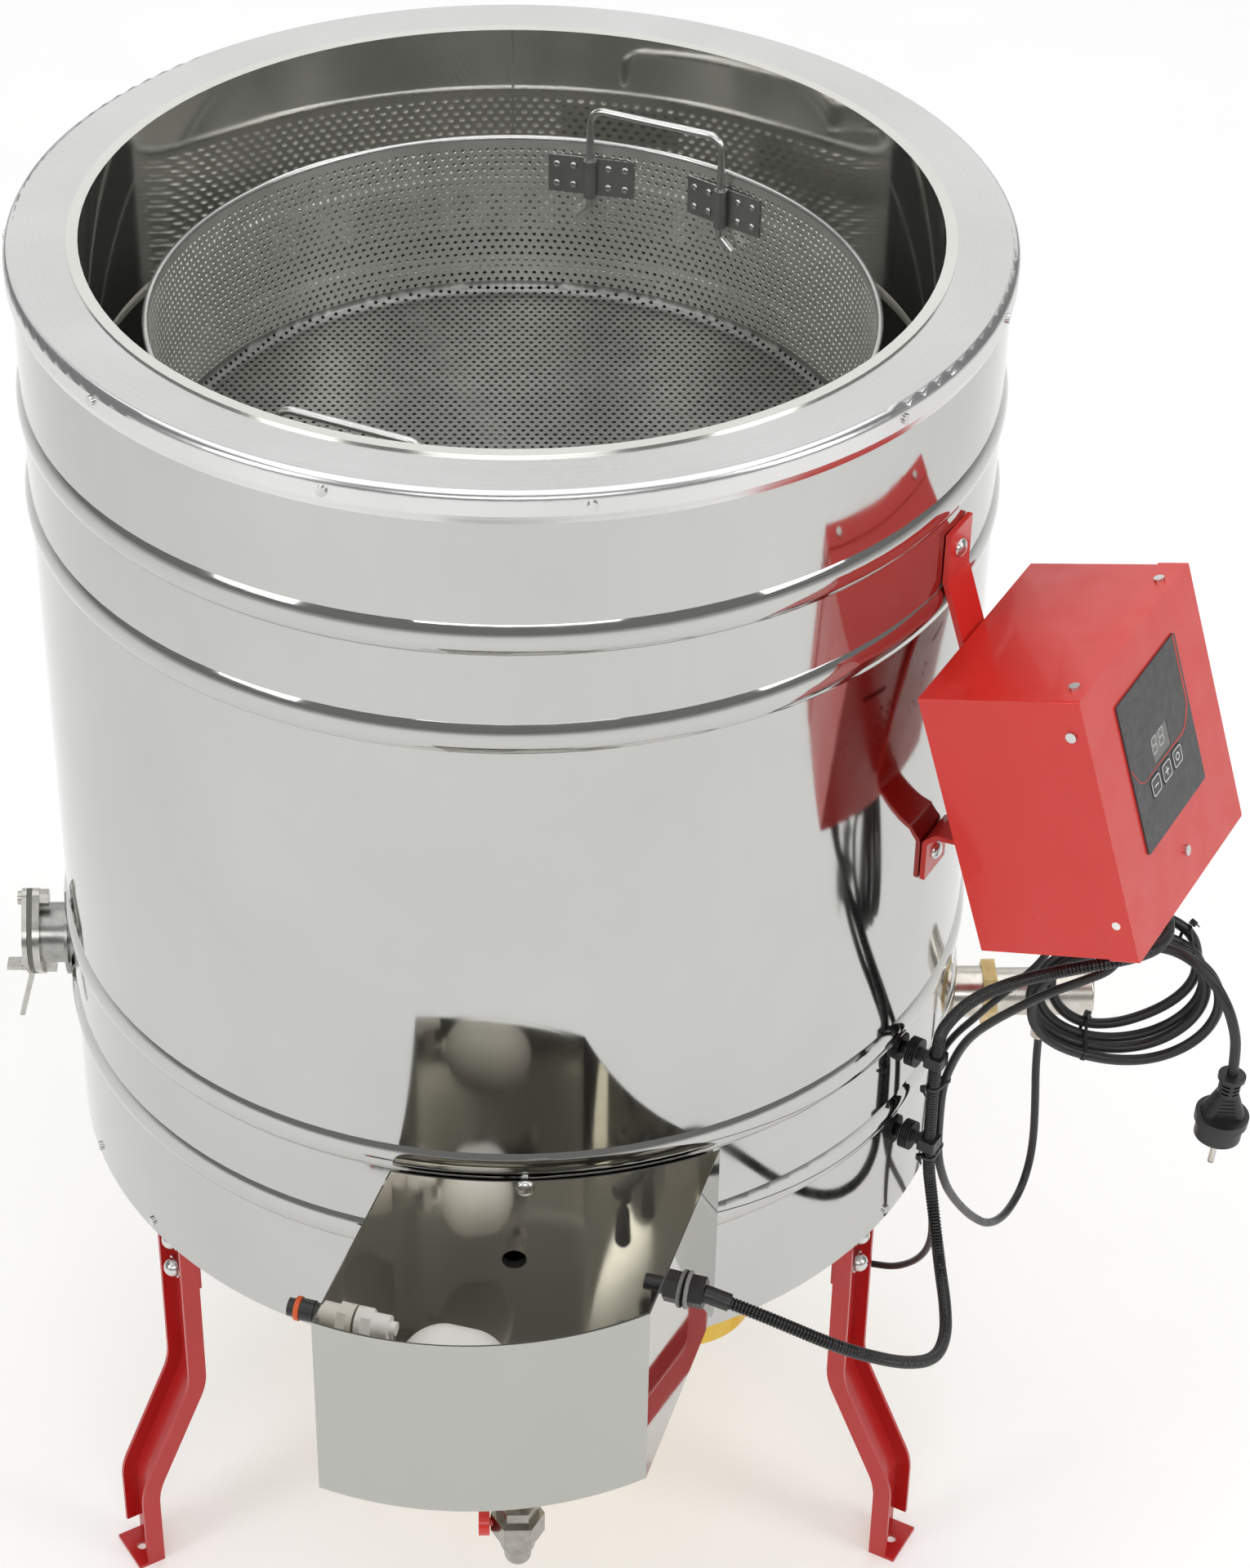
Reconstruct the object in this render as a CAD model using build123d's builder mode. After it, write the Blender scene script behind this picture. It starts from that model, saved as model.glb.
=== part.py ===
from build123d import *
import os
from math import atan2, cos, degrees, pi, radians, sin, sqrt, tan

# A heated wax centrifuge: a double-walled steel drum on three legs, with a perforated
# basket on a bottom-driven spindle, a float-fed water tank, an immersion heater,
# a wax gate and a control box with its leads.
# Millimetres. +Z is up, the origin is on the floor under the drum's axis,
# the water tank is on the -Y side, the control box on the +X side.

os.makedirs("parts", exist_ok=True)

# Drum
rim_top = 1150
shell_bottom = 390
shell_r = 347.5
sheet = 1.5
bead_rise = 3.5
bead_half = 12
shell_bead_heights = (504, 582, 958, 1036)
drum_r = 300
drum_bead_heights = (952, 1021)
drum_bead_half = 6
drum_bead_rise = 2.5
drum_floor_edge = 499
drum_floor_centre = 505
lip_width = 8
rim_r = 351.5
rim_corner = 6
rim_skirt = 18
rim_hem = 25
rim_screw_azimuths = (180, -141, -110, -82, -44, -19, 14, 46, 79, 112, 146)
rim_screw_drop = 12
bottom_screw_azimuths = (-159.5, -143.4, -35, -12, 40, 90, 140)
bottom_screw_height = 399

# Legs: open channels with an outward step and a foot tab
leg_azimuths = {"leg_front_left": -150, "leg_front_right": -30, "leg_rear": 90}
leg_width = 41
leg_depth = 15
leg_sheet = 3
leg_top_r = 302
leg_foot_r = 351
leg_top = 388
leg_bend_high = 181
leg_bend_low = 80
leg_bend_radius = 55
leg_short_flange = 20
foot_tip_r = 374
foot_hole_r = 362
leg_bolt_heights = (301, 331)

# Drive
spindle_r = 12.5
bearing_r = 26
bearing_width = 15
housing_r = 32
housing_bottom = 318
housing_top = 905
running_gap = 0.05
belt_low = 258
belt_high = 282
driven_r = 95
motor_x = 129
motor_y = -137
motor_r = 45
motor_pulley_r = 30
guard_low = 250
guard_motor_r = 62
guard_spindle_r = 110

# Basket
basket_r = 258.2
basket_sheet = 1.2
basket_floor = 950
basket_top = 1081
handle_azimuths = {"handle_rear": 64, "handle_front": -116}
handle_half_angle = 12.5
handle_post_r = 249.6
handle_wire_r = 3
handle_lifts = {"handle_rear": 0, "handle_front": 4.5}
handle_top = 1113
handle_foot = 1031
sleeve_low = 1039
sleeve_high = 1070
sleeve_plate_width = 66

# Water tank, in plan
tank_rear_r = 352.7
tank_rear_left = -104.8
tank_rear_right = -65.5
tank_front_left = (-140, -492)
tank_front_mid = (-26, -516)
tank_front_right = (91, -486)
tank_sheet = 1.2
tank_low = 410
tank_high = 573
tank_side_dir = Vector(0.957, -0.291, 0)
float_wall_point = Vector(-114.6, -415.1, 498)
switch_wall_point = Vector(120.2, -398.7, 510)
passage_height = 497
drain_x = 0
drain_y = -465

# Wax gate on the -X side, heater on the +X side
gate_height = 516
gate_bore_r = 20.5
gate_pipe_r = 24
gate_pivot_height = 551
gate_screw_height = 484
heater_height = 450

# Control box, on a plane that leans towards the drum
box_azimuth = -30
box_tilt = 17.8
box_back_r = 367.6
box_top = 932.5
box_width = 192
box_height = 206
box_depth = 121
box_sheet = 1.5
key_size = 15
key_offsets = {"key_minus": -21, "key_plus": -2, "key_power": 17}
key_drop = 108.8
window_x = -1.4
window_drop = 86.4
strap_width = 35
strap_sheet = 4
strap_bolt_heights = (994, 732)

# Leads
conduit_crest_r = 4.9
conduit_valley_r = 4.1
conduit_bore_r = 3.3
conduit_ribs = 200
rib_group = 10
heater_lead_r = 3.4
motor_lead_r = 2.8
mains_r = 4
gland_length = 18


def save(piece, name):
    """Label a finished piece and write it as its own file"""
    piece.label = name
    export_step(piece, f"parts/{name}.step")


def outward(azimuth):
    """Unit vector from the drum's axis at an azimuth in degrees"""
    return Vector(cos(radians(azimuth)), sin(radians(azimuth)), 0)


def sideways(azimuth):
    """Unit vector along the drum's wall at an azimuth"""
    return Vector(-sin(radians(azimuth)), cos(radians(azimuth)), 0)


def wall_plane(azimuth, radius, height):
    """Plane that faces outward from the drum; its X runs along the wall and its Y is up"""
    origin = outward(azimuth) * radius + Vector(0, 0, height)
    return Plane(origin=origin, x_dir=sideways(azimuth), z_dir=outward(azimuth))


def section_plane(azimuth):
    """Plane through the drum's axis; its X is the radius and its Y is the height"""
    return Plane(origin=(0, 0, 0), x_dir=outward(azimuth), z_dir=sideways(azimuth) * -1)


def level(height, x=0, y=0):
    """Level plane at a height"""
    return Plane(origin=(x, y, height), x_dir=(1, 0, 0), z_dir=(0, 0, 1))


def along(origin, direction):
    """Plane square to a direction, for pieces that lie along an axis"""
    return Plane(origin=origin, z_dir=direction)


def disc(plane, radius, length, mode=Mode.ADD):
    """Round bar that starts on a plane"""
    with BuildSketch(plane) as profile:
        Circle(radius)
    extrude(profile.sketch, amount=length, mode=mode)


def ring(plane, outer, inner, length):
    """Round tube that starts on a plane"""
    with BuildSketch(plane) as profile:
        Circle(outer)
        Circle(inner, mode=Mode.SUBTRACT)
    extrude(profile.sketch, amount=length)


def hexagon(plane, across_flats, length):
    """Hexagonal bar that starts on a plane"""
    with BuildSketch(plane) as profile:
        RegularPolygon(radius=across_flats / 2, side_count=6, major_radius=False)
    extrude(profile.sketch, amount=length)


def slab(plane, width, height, length, mode=Mode.ADD):
    """Rectangular bar that starts on a plane"""
    with BuildSketch(plane) as profile:
        Rectangle(width, height)
    extrude(profile.sketch, amount=length, mode=mode)


def dome(azimuth, seat_r, height, radius, rise):
    """Domed head on the drum's outside, with its flat side at a radius"""
    with BuildSketch(section_plane(azimuth)) as profile:
        with Locations((seat_r, height)):
            Ellipse(rise, radius)
            Rectangle(40, 20, align=(Align.CENTER, Align.MAX), mode=Mode.SUBTRACT)
            Rectangle(20, 40, align=(Align.MAX, Align.CENTER), mode=Mode.SUBTRACT)
    spin = Axis(outward(azimuth) * seat_r + Vector(0, 0, height), outward(azimuth))
    revolve(profile.sketch, axis=spin)


def beaded_face(radius, direction, bottom, top, heights, half, rise):
    """Wall line from bottom to top (direction 1) or back (-1), with a round bead at each height"""
    ends = (bottom, top) if direction > 0 else (top, bottom)
    here = ends[0]
    for height in sorted(heights, reverse=direction < 0):
        Line((radius, here), (radius, height - direction * half))
        ThreePointArc(
            (radius, height - direction * half),
            (radius + rise, height),
            (radius, height + direction * half),
        )
        here = height + direction * half
    Line((radius, here), (radius, ends[1]))


# Outer shell: rolled sheet with four stiffening beads and the holes for its fittings
shell_top = rim_top - 9
rim_screw_height = rim_top - rim_screw_drop
with BuildPart() as outer_shell:
    with BuildSketch(Plane.XZ):
        with BuildLine():
            beaded_face(shell_r, 1, shell_bottom, shell_top, shell_bead_heights, bead_half, bead_rise)
            Line((shell_r, shell_top), (shell_r - sheet, shell_top))
            inner_r = shell_r - sheet
            beaded_face(inner_r, -1, shell_bottom, shell_top, shell_bead_heights, bead_half, bead_rise)
            Line((shell_r - sheet, shell_bottom), (shell_r, shell_bottom))
        make_face()
    revolve(axis=Axis.Z)
    disc(wall_plane(180, 330, gate_height), gate_pipe_r + 0.2, 40, Mode.SUBTRACT)
    disc(wall_plane(0, 330, heater_height), 21.2, 40, Mode.SUBTRACT)
    disc(wall_plane(-90.3, 330, passage_height), 11.3, 40, Mode.SUBTRACT)
    disc(wall_plane(-89, 330, tank_high - 6), 4.3, 40, Mode.SUBTRACT)
    for bolt_height in strap_bolt_heights:
        disc(wall_plane(box_azimuth, 330, bolt_height), 4.3, 40, Mode.SUBTRACT)
    for azimuth in rim_screw_azimuths:
        disc(wall_plane(azimuth, 340, rim_screw_height), 1.9, 20, Mode.SUBTRACT)
    for azimuth in bottom_screw_azimuths:
        disc(wall_plane(azimuth, 340, bottom_screw_height), 1.9, 20, Mode.SUBTRACT)
save(outer_shell.part, "outer_shell")

# Inner drum wall: melting chamber with a lip that lies on the rim
floor_fillet = 12
floor_upstand = drum_floor_edge + floor_fillet
with BuildPart() as drum_wall:
    with BuildSketch(Plane.XZ):
        with BuildLine():
            beaded_face(
                drum_r, -1, floor_upstand, rim_top,
                drum_bead_heights, drum_bead_half, -drum_bead_rise,
            )
            Line((drum_r, floor_upstand), (drum_r + sheet, floor_upstand))
            beaded_face(
                drum_r + sheet, 1, floor_upstand, rim_top - sheet,
                drum_bead_heights, drum_bead_half, -drum_bead_rise,
            )
            Polyline(
                (drum_r + sheet, rim_top - sheet),
                (drum_r + lip_width, rim_top - sheet),
                (drum_r + lip_width, rim_top),
                (drum_r, rim_top),
            )
        make_face()
    revolve(axis=Axis.Z)
    disc(wall_plane(180, drum_r - 4.5, gate_height), gate_pipe_r + 0.2, 40, Mode.SUBTRACT)
save(drum_wall.part, "drum_wall")

# Inner drum floor: falls outward to the gate, with a rounded edge welded to the wall
with BuildPart() as drum_floor:
    with BuildSketch(Plane.XZ):
        with BuildLine():
            flat_r = drum_r - floor_fillet
            inner_bend = floor_fillet * sqrt(0.5)
            outer_bend = (floor_fillet + sheet) * sqrt(0.5)
            ThreePointArc(
                (drum_r, floor_upstand),
                (flat_r + inner_bend, floor_upstand - inner_bend),
                (flat_r, drum_floor_edge),
            )
            Polyline(
                (flat_r, drum_floor_edge),
                (housing_r + 0.2, drum_floor_centre),
                (housing_r + 0.2, drum_floor_centre - sheet),
                (flat_r, drum_floor_edge - sheet),
            )
            ThreePointArc(
                (flat_r, drum_floor_edge - sheet),
                (flat_r + outer_bend, floor_upstand - outer_bend),
                (drum_r + sheet, floor_upstand),
            )
            Line((drum_r + sheet, floor_upstand), (drum_r, floor_upstand))
        make_face()
    revolve(axis=Axis.Z)
    disc(wall_plane(180, drum_r - 4.5, gate_height), gate_pipe_r + 0.2, 40, Mode.SUBTRACT)
save(drum_floor.part, "drum_floor")

# Top rim: flat annulus with a rounded corner and a skirt over the shell
with BuildPart() as top_rim:
    with BuildSketch(Plane.XZ):
        with BuildLine():
            face = rim_top - sheet
            turn = rim_r - rim_corner
            arm = rim_corner * sqrt(0.5)
            inside = (rim_corner - sheet) * sqrt(0.5)
            Line((drum_r + 2, face), (turn, face))
            ThreePointArc(
                (turn, face),
                (turn + arm, face - rim_corner + arm),
                (rim_r, face - rim_corner),
            )
            Polyline(
                (rim_r, face - rim_corner),
                (rim_r, rim_top - rim_skirt),
                (shell_r + 1.4, rim_top - rim_hem),
                (shell_r + 0.2, rim_top - rim_hem + 0.6),
                (rim_r - sheet, rim_top - rim_skirt + 0.4),
                (rim_r - sheet, face - rim_corner),
            )
            ThreePointArc(
                (rim_r - sheet, face - rim_corner),
                (turn + inside, face - rim_corner + inside),
                (turn, face - sheet),
            )
            Polyline((turn, face - sheet), (drum_r + 2, face - sheet), (drum_r + 2, face))
        make_face()
    revolve(axis=Axis.Z)
    for azimuth in rim_screw_azimuths:
        disc(wall_plane(azimuth, 345, rim_screw_height), 1.9, 20, Mode.SUBTRACT)
save(top_rim.part, "top_rim")

# Bottom plate: closes the water jacket, with an upstand screwed to the shell
plate_r = shell_r - sheet - 0.2
with BuildPart() as bottom_plate:
    ring(level(shell_bottom), plate_r, housing_r + 0.2, 3)
    ring(level(shell_bottom + 3), plate_r, plate_r - sheet, 15)
    for azimuth in bottom_screw_azimuths:
        disc(wall_plane(azimuth, 340, bottom_screw_height), 1.9, 20, Mode.SUBTRACT)
save(bottom_plate.part, "bottom_plate")


def channel_outline(near, far):
    """Side view of a leg between two distances out from its web"""
    slope = atan2(leg_foot_r - leg_top_r, leg_bend_high - leg_bend_low)
    shift = tan(slope / 2)
    with BuildSketch(Plane.XZ) as outline:
        with BuildLine():
            Polyline(
                (leg_top_r + near, leg_top),
                (leg_top_r + near, leg_bend_high + near * shift),
                (leg_foot_r + near, leg_bend_low + near * shift),
                (leg_foot_r + near, 0),
                (leg_foot_r + far, 0),
                (leg_foot_r + far, leg_bend_low + far * shift),
                (leg_top_r + far, leg_bend_high + far * shift),
                (leg_top_r + far, leg_top),
                close=True,
            )
        make_face()
        fillet(outline.vertices().filter_by(lambda v: 1 < v.Y < leg_top - 1), radius=leg_bend_radius)
    return outline.sketch


# Legs: the flange away from the front stops short of the foot
for leg_name, azimuth in leg_azimuths.items():
    short_side = 1 if azimuth == -30 else -1
    with BuildPart() as leg:
        extrude(channel_outline(0, leg_depth), amount=leg_width / 2, both=True)
        channel_gap = leg_width / 2 - leg_sheet
        extrude(channel_outline(leg_sheet, leg_depth + 30), amount=channel_gap, both=True, mode=Mode.SUBTRACT)
        notch_y = short_side * (leg_width / 2 - leg_sheet / 2)
        notch_length = 40 - 2 * leg_sheet
        notch_at = level(0, leg_foot_r + 20, notch_y)
        slab(notch_at, notch_length, leg_sheet, leg_short_flange, Mode.SUBTRACT)
        slab(level(0, (leg_foot_r + foot_tip_r) / 2, 0), foot_tip_r - leg_foot_r, leg_width, leg_sheet)
        disc(level(0, foot_hole_r, 0), 4.5, 10, Mode.SUBTRACT)
        for bolt_height in leg_bolt_heights:
            disc(wall_plane(0, leg_top_r - 2, bolt_height), 4.3, 10, Mode.SUBTRACT)
    save(leg.part.rotate(Axis.Z, azimuth), leg_name)

# Leg brackets: a plate behind each leg, a flange under the bottom plate and a gusset
bracket_sheet = 3.5
bracket_width = leg_width - 8
with BuildPart() as leg_brackets:
    for azimuth in leg_azimuths.values():
        behind = wall_plane(azimuth, leg_top_r - bracket_sheet, (284 + shell_bottom) / 2)
        slab(behind, bracket_width, shell_bottom - 284, bracket_sheet)
        flange_r = leg_top_r - bracket_sheet - 30
        flange_at = outward(azimuth) * flange_r + Vector(0, 0, shell_bottom - 4)
        slab(Plane(origin=flange_at, x_dir=outward(azimuth), z_dir=(0, 0, 1)), 60, bracket_width, 4)
        with BuildSketch(section_plane(azimuth)):
            with BuildLine():
                Polyline(
                    (leg_top_r - bracket_sheet, shell_bottom - 4),
                    (leg_top_r - bracket_sheet - 55, shell_bottom - 4),
                    (leg_top_r - bracket_sheet, 345),
                    close=True,
                )
            make_face()
        extrude(amount=2, both=True)
        for bolt_height in leg_bolt_heights:
            disc(wall_plane(azimuth, leg_top_r - 6, bolt_height), 4.3, 10, Mode.SUBTRACT)
save(leg_brackets.part, "leg_brackets")

# Bearing housing: tall tube from under the bottom plate to just below the basket
with BuildPart() as bearing_housing:
    ring(level(housing_bottom), housing_r, bearing_r, housing_top - housing_bottom)
    ring(level(shell_bottom - 8), 62, housing_r, 8)
save(bearing_housing.part, "bearing_housing")

with BuildPart() as shaft_bearings:
    for height in (housing_bottom + 4, housing_top - bearing_width - 4):
        ring(level(height), bearing_r, spindle_r + running_gap, bearing_width)
save(shaft_bearings.part, "shaft_bearings")

# Spindle: collar under the basket's hub, flatted top end that drives the hub
collar_low = housing_top + 1
collar_high = collar_low + 8
spindle_top = 945
with BuildPart() as drive_shaft:
    disc(level(belt_low - 4), spindle_r, spindle_top - belt_low + 4)
    disc(level(collar_low), 24, collar_high - collar_low)
    for side in (1, -1):
        slab(level(collar_high, side * 15, 0), 10, 40, 60, Mode.SUBTRACT)
save(drive_shaft.part, "drive_shaft")


def pulley_rim(radius, x, y):
    """Half-section of a grooved pulley rim turned about a vertical axis"""
    middle = (belt_low + belt_high) / 2
    with BuildSketch(Plane.XZ.offset(-y)) as profile:
        with BuildLine():
            Polyline(
                (x, belt_low),
                (x + radius, belt_low),
                (x + radius, middle - 7),
                (x + radius - 10, middle - 4),
                (x + radius - 10, middle + 4),
                (x + radius, middle + 7),
                (x + radius, belt_high),
                (x, belt_high),
                close=True,
            )
        make_face()
    revolve(profile.sketch, axis=Axis((x, y, 0), (0, 0, 1)))


with BuildPart() as driven_pulley:
    pulley_rim(driven_r, 0, 0)
    disc(level(belt_low - 1), spindle_r, 40, Mode.SUBTRACT)
    with PolarLocations(55, 5):
        Cylinder(18, 4 * belt_high, mode=Mode.SUBTRACT)
save(driven_pulley.part, "driven_pulley")

# Motor: hangs from four posts under the bottom plate, with its shaft down
motor_plate_low = 286
with BuildPart() as motor_mount:
    plate = level(motor_plate_low, motor_x, motor_y)
    with BuildSketch(plate):
        RectangleRounded(100, 100, 10)
        Circle(14, mode=Mode.SUBTRACT)
    extrude(amount=4)
    with BuildSketch(plate.offset(4)):
        with GridLocations(80, 80, 2, 2):
            Circle(5)
    extrude(amount=shell_bottom - motor_plate_low - 4)
save(motor_mount.part, "motor_mount")

with BuildPart() as motor_body:
    motor_low = motor_plate_low + 4
    disc(level(motor_low, motor_x, motor_y), motor_r, 90)
    fillet(edges().filter_by(GeomType.CIRCLE), radius=4)
    disc(level(motor_low - 1, motor_x, motor_y), 6 + running_gap, 20, Mode.SUBTRACT)
    lead_side = Plane(origin=(motor_x, motor_y, 318), z_dir=(1, 0.1, 0)).offset(motor_r - 4)
    disc(lead_side, 8, 14)
save(motor_body.part, "motor_body")

with BuildPart() as motor_pulley:
    pulley_rim(motor_pulley_r, motor_x, motor_y)
    disc(level(belt_low, motor_x, motor_y), 6, motor_low + 15 - belt_low)
save(motor_pulley.part, "motor_pulley")


def belt_loop(plane, spindle_end_r, motor_end_r):
    """Outline round both pulleys: a circle at each axis and the straight runs between them"""
    with BuildSketch(plane) as outline:
        Circle(spindle_end_r)
        with Locations((motor_x, motor_y)):
            Circle(motor_end_r)
        make_hull()
    return outline.sketch


# Belt: one loop that lies in the pulley grooves, clear of their flanks
belt_middle = (belt_low + belt_high) / 2
with BuildPart() as drive_belt:
    extrude(belt_loop(level(belt_middle - 3.2), driven_r - 1, motor_pulley_r - 1), amount=6.4)
    inside = belt_loop(level(belt_middle - 4), driven_r - 9, motor_pulley_r - 9)
    extrude(inside, amount=8, mode=Mode.SUBTRACT)
save(drive_belt.part, "drive_belt")

# Belt guard: pan round both pulleys, hung from the motor plate and the housing's flange
with BuildPart() as belt_guard:
    outside = belt_loop(level(guard_low), guard_spindle_r, guard_motor_r)
    extrude(outside, amount=motor_plate_low - guard_low)
    inside = belt_loop(level(guard_low + sheet), guard_spindle_r - sheet, guard_motor_r - sheet)
    extrude(inside, amount=60, mode=Mode.SUBTRACT)
    for azimuth in (60, 150):
        post = outward(azimuth) * (guard_spindle_r + 5)
        disc(level(guard_low, post.X, post.Y), 6, shell_bottom - guard_low)
save(belt_guard.part, "belt_guard")

# Basket: plain walls stand for the perforated sheet
with BuildPart() as basket_wall:
    with BuildSketch(Plane.XZ):
        with Locations((basket_r - basket_sheet / 2, (basket_floor + 4 + basket_top) / 2)):
            Rectangle(basket_sheet, basket_top - basket_floor - 4)
        with Locations((basket_r, basket_top)):
            Circle(2.2)
    revolve(axis=Axis.Z)
save(basket_wall.part, "basket_wall")

# Basket floor: dished disc whose edge turns up inside the wall
floor_r = basket_r - basket_sheet - 0.1
dish = 9
with BuildPart() as basket_floor_pan:
    with BuildSketch(Plane.XZ):
        with BuildLine():
            bow = dish * (1 - sqrt(0.5))
            inner_dish = dish - basket_sheet
            Line((0, basket_floor), (floor_r - dish, basket_floor))
            ThreePointArc(
                (floor_r - dish, basket_floor),
                (floor_r - bow, basket_floor + bow),
                (floor_r, basket_floor + dish),
            )
            Polyline(
                (floor_r, basket_floor + dish),
                (floor_r, basket_floor + dish + 7),
                (floor_r - basket_sheet, basket_floor + dish + 7),
                (floor_r - basket_sheet, basket_floor + dish),
            )
            ThreePointArc(
                (floor_r - basket_sheet, basket_floor + dish),
                (floor_r - dish + inner_dish * sqrt(0.5), basket_floor + dish - inner_dish * sqrt(0.5)),
                (floor_r - dish, basket_floor + basket_sheet),
            )
            Polyline(
                (floor_r - dish, basket_floor + basket_sheet),
                (0, basket_floor + basket_sheet),
                (0, basket_floor),
            )
        make_face()
    revolve(axis=Axis.Z)
save(basket_floor_pan.part, "basket_floor")

# Spider under the floor: hub with a flatted socket and four arms
with BuildPart() as basket_spider:
    hub_low = collar_high + 0.3
    disc(level(hub_low), 28, basket_floor - hub_low)
    for azimuth in (19, 109, 199, 289):
        arm_mid = outward(azimuth) * 134 + Vector(0, 0, basket_floor - 9)
        arm_plane = Plane(origin=arm_mid, x_dir=outward(azimuth), z_dir=(0, 0, 1))
        slab(arm_plane, 226, 18, 9)
    with BuildSketch(level(hub_low)):
        Circle(spindle_r + 0.3)
        for side in (1, -1):
            with Locations((side * 15.3, 0)):
                Rectangle(10, 40, mode=Mode.SUBTRACT)
    extrude(amount=spindle_top - hub_low + 0.6, mode=Mode.SUBTRACT)
save(basket_spider.part, "basket_spider")

# Sleeve plates: each is folded round one post of a handle and riveted to the wall
plate_face = basket_r - basket_sheet - 2.5
with BuildPart() as handle_brackets:
    for centre in handle_azimuths.values():
        for azimuth in (centre - handle_half_angle, centre + handle_half_angle):
            plan = Plane(
                origin=outward(azimuth) * handle_post_r + Vector(0, 0, sleeve_low),
                x_dir=sideways(azimuth),
                z_dir=(0, 0, 1),
            )
            back = plate_face - handle_post_r
            with BuildSketch(plan):
                with Locations((0, back * -1 + 0.75)):
                    Rectangle(sleeve_plate_width, 1.5)
                Circle(handle_wire_r + 1.9)
                Circle(handle_wire_r + 0.4, mode=Mode.SUBTRACT)
            extrude(amount=sleeve_high - sleeve_low)
            with BuildSketch(wall_plane(azimuth, plate_face - 2.2, (sleeve_low + sleeve_high) / 2)):
                for side in (1, -1):
                    with Locations((side * 20, 0)):
                        with GridLocations(13, 16, 2, 2):
                            Circle(2.6)
            extrude(amount=2.9)
save(handle_brackets.part, "handle_brackets")

# Wire handles: raised, with their bent feet against the sleeves; the front one stands a little higher
for handle_name, centre in handle_azimuths.items():
    across = sideways(centre)
    post_in = outward(centre) * (handle_post_r * cos(radians(handle_half_angle)))
    half_span = handle_post_r * sin(radians(handle_half_angle))
    lift = handle_lifts[handle_name]

    def post_point(side, extra, height):
        return post_in + across * (side * (half_span + extra)) + Vector(0, 0, height + lift)

    with BuildPart() as handle:
        with BuildLine() as bend_line:
            FilletPolyline(
                post_point(-1, 10, handle_foot - 10),
                post_point(-1, 0, handle_foot),
                post_point(-1, 0, handle_top),
                post_point(1, 0, handle_top),
                post_point(1, 0, handle_foot),
                post_point(1, 10, handle_foot - 10),
                radius=(5, 12, 12, 5),
            )
        with BuildSketch(Plane(origin=bend_line.line @ 0, z_dir=bend_line.line % 0)):
            Circle(handle_wire_r)
        sweep(path=bend_line.line)
    save(handle.part, handle_name)


def tank_outline(height, inset):
    """Plan of the tank at a height, drawn in by an inset on every side"""
    rear_r = tank_rear_r + inset
    trim = degrees(inset / rear_r)
    left = outward(tank_rear_left + trim) * rear_r
    right = outward(tank_rear_right - trim) * rear_r
    middle = outward((tank_rear_left + tank_rear_right) / 2) * rear_r
    front = inset * 1.03
    front_left = Vector(*tank_front_left) + tank_side_dir * inset + Vector(0, front, 0)
    front_mid = Vector(*tank_front_mid) + Vector(0, front, 0)
    front_right = Vector(*tank_front_right) - tank_side_dir * inset + Vector(0, front, 0)
    with BuildSketch(level(height)) as outline:
        with BuildLine():
            ThreePointArc(left, middle, right)
            Line(right, front_right)
            ThreePointArc(front_right, front_mid, front_left)
            Line(front_left, left)
        make_face()
    return outline.sketch


# Water tank: open box that hugs the drum, with a passage to the water jacket
with BuildPart() as water_tank:
    extrude(tank_outline(tank_low, 0), amount=tank_high - tank_low)
    extrude(tank_outline(tank_low + tank_sheet, tank_sheet), amount=200, mode=Mode.SUBTRACT)
    ring(wall_plane(-90.3, shell_r - sheet, passage_height), 11, 9, tank_rear_r - shell_r + sheet + 0.2)
    disc(wall_plane(-90.3, shell_r - sheet - 1, passage_height), 9, 20, Mode.SUBTRACT)
    disc(wall_plane(-89, shell_r, tank_high - 6), 4.3, 20, Mode.SUBTRACT)
    disc(along(float_wall_point - tank_side_dir * 6, tank_side_dir), 7.3, 12, Mode.SUBTRACT)
    disc(along(switch_wall_point - tank_side_dir * 6, tank_side_dir), 7.3, 12, Mode.SUBTRACT)
    disc(level(tank_low - 1, drain_x, drain_y), 9, 4, Mode.SUBTRACT)
save(water_tank.part, "water_tank")

# Bolts: hexagon head, washer and dome nut on each leg; button heads on the tank and the strap
with BuildPart() as frame_bolts:
    nut_face = leg_top_r + leg_sheet
    head_face = leg_top_r - bracket_sheet
    for azimuth in leg_azimuths.values():
        for bolt_height in leg_bolt_heights:
            hexagon(wall_plane(azimuth, head_face - 6.4, bolt_height), 17, 6.4)
            disc(wall_plane(azimuth, head_face, bolt_height), 4, 12)
            disc(wall_plane(azimuth, nut_face, bolt_height), 10.5, 1.6)
            hexagon(wall_plane(azimuth, nut_face + 1.6, bolt_height), 17, 7)
            dome(azimuth, nut_face + 8.6, bolt_height, 7.9, 8.5)
    seats = [(-89, tank_high - 6, tank_rear_r + tank_sheet)]
    seats += [(box_azimuth, height, shell_r + 0.2 + strap_sheet) for height in strap_bolt_heights]
    for azimuth, height, seat_r in seats:
        disc(wall_plane(azimuth, shell_r - 8, height), 4, seat_r - shell_r + 8)
        dome(azimuth, seat_r, height, 7, 4.2)
save(frame_bolts.part, "frame_bolts")

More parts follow.
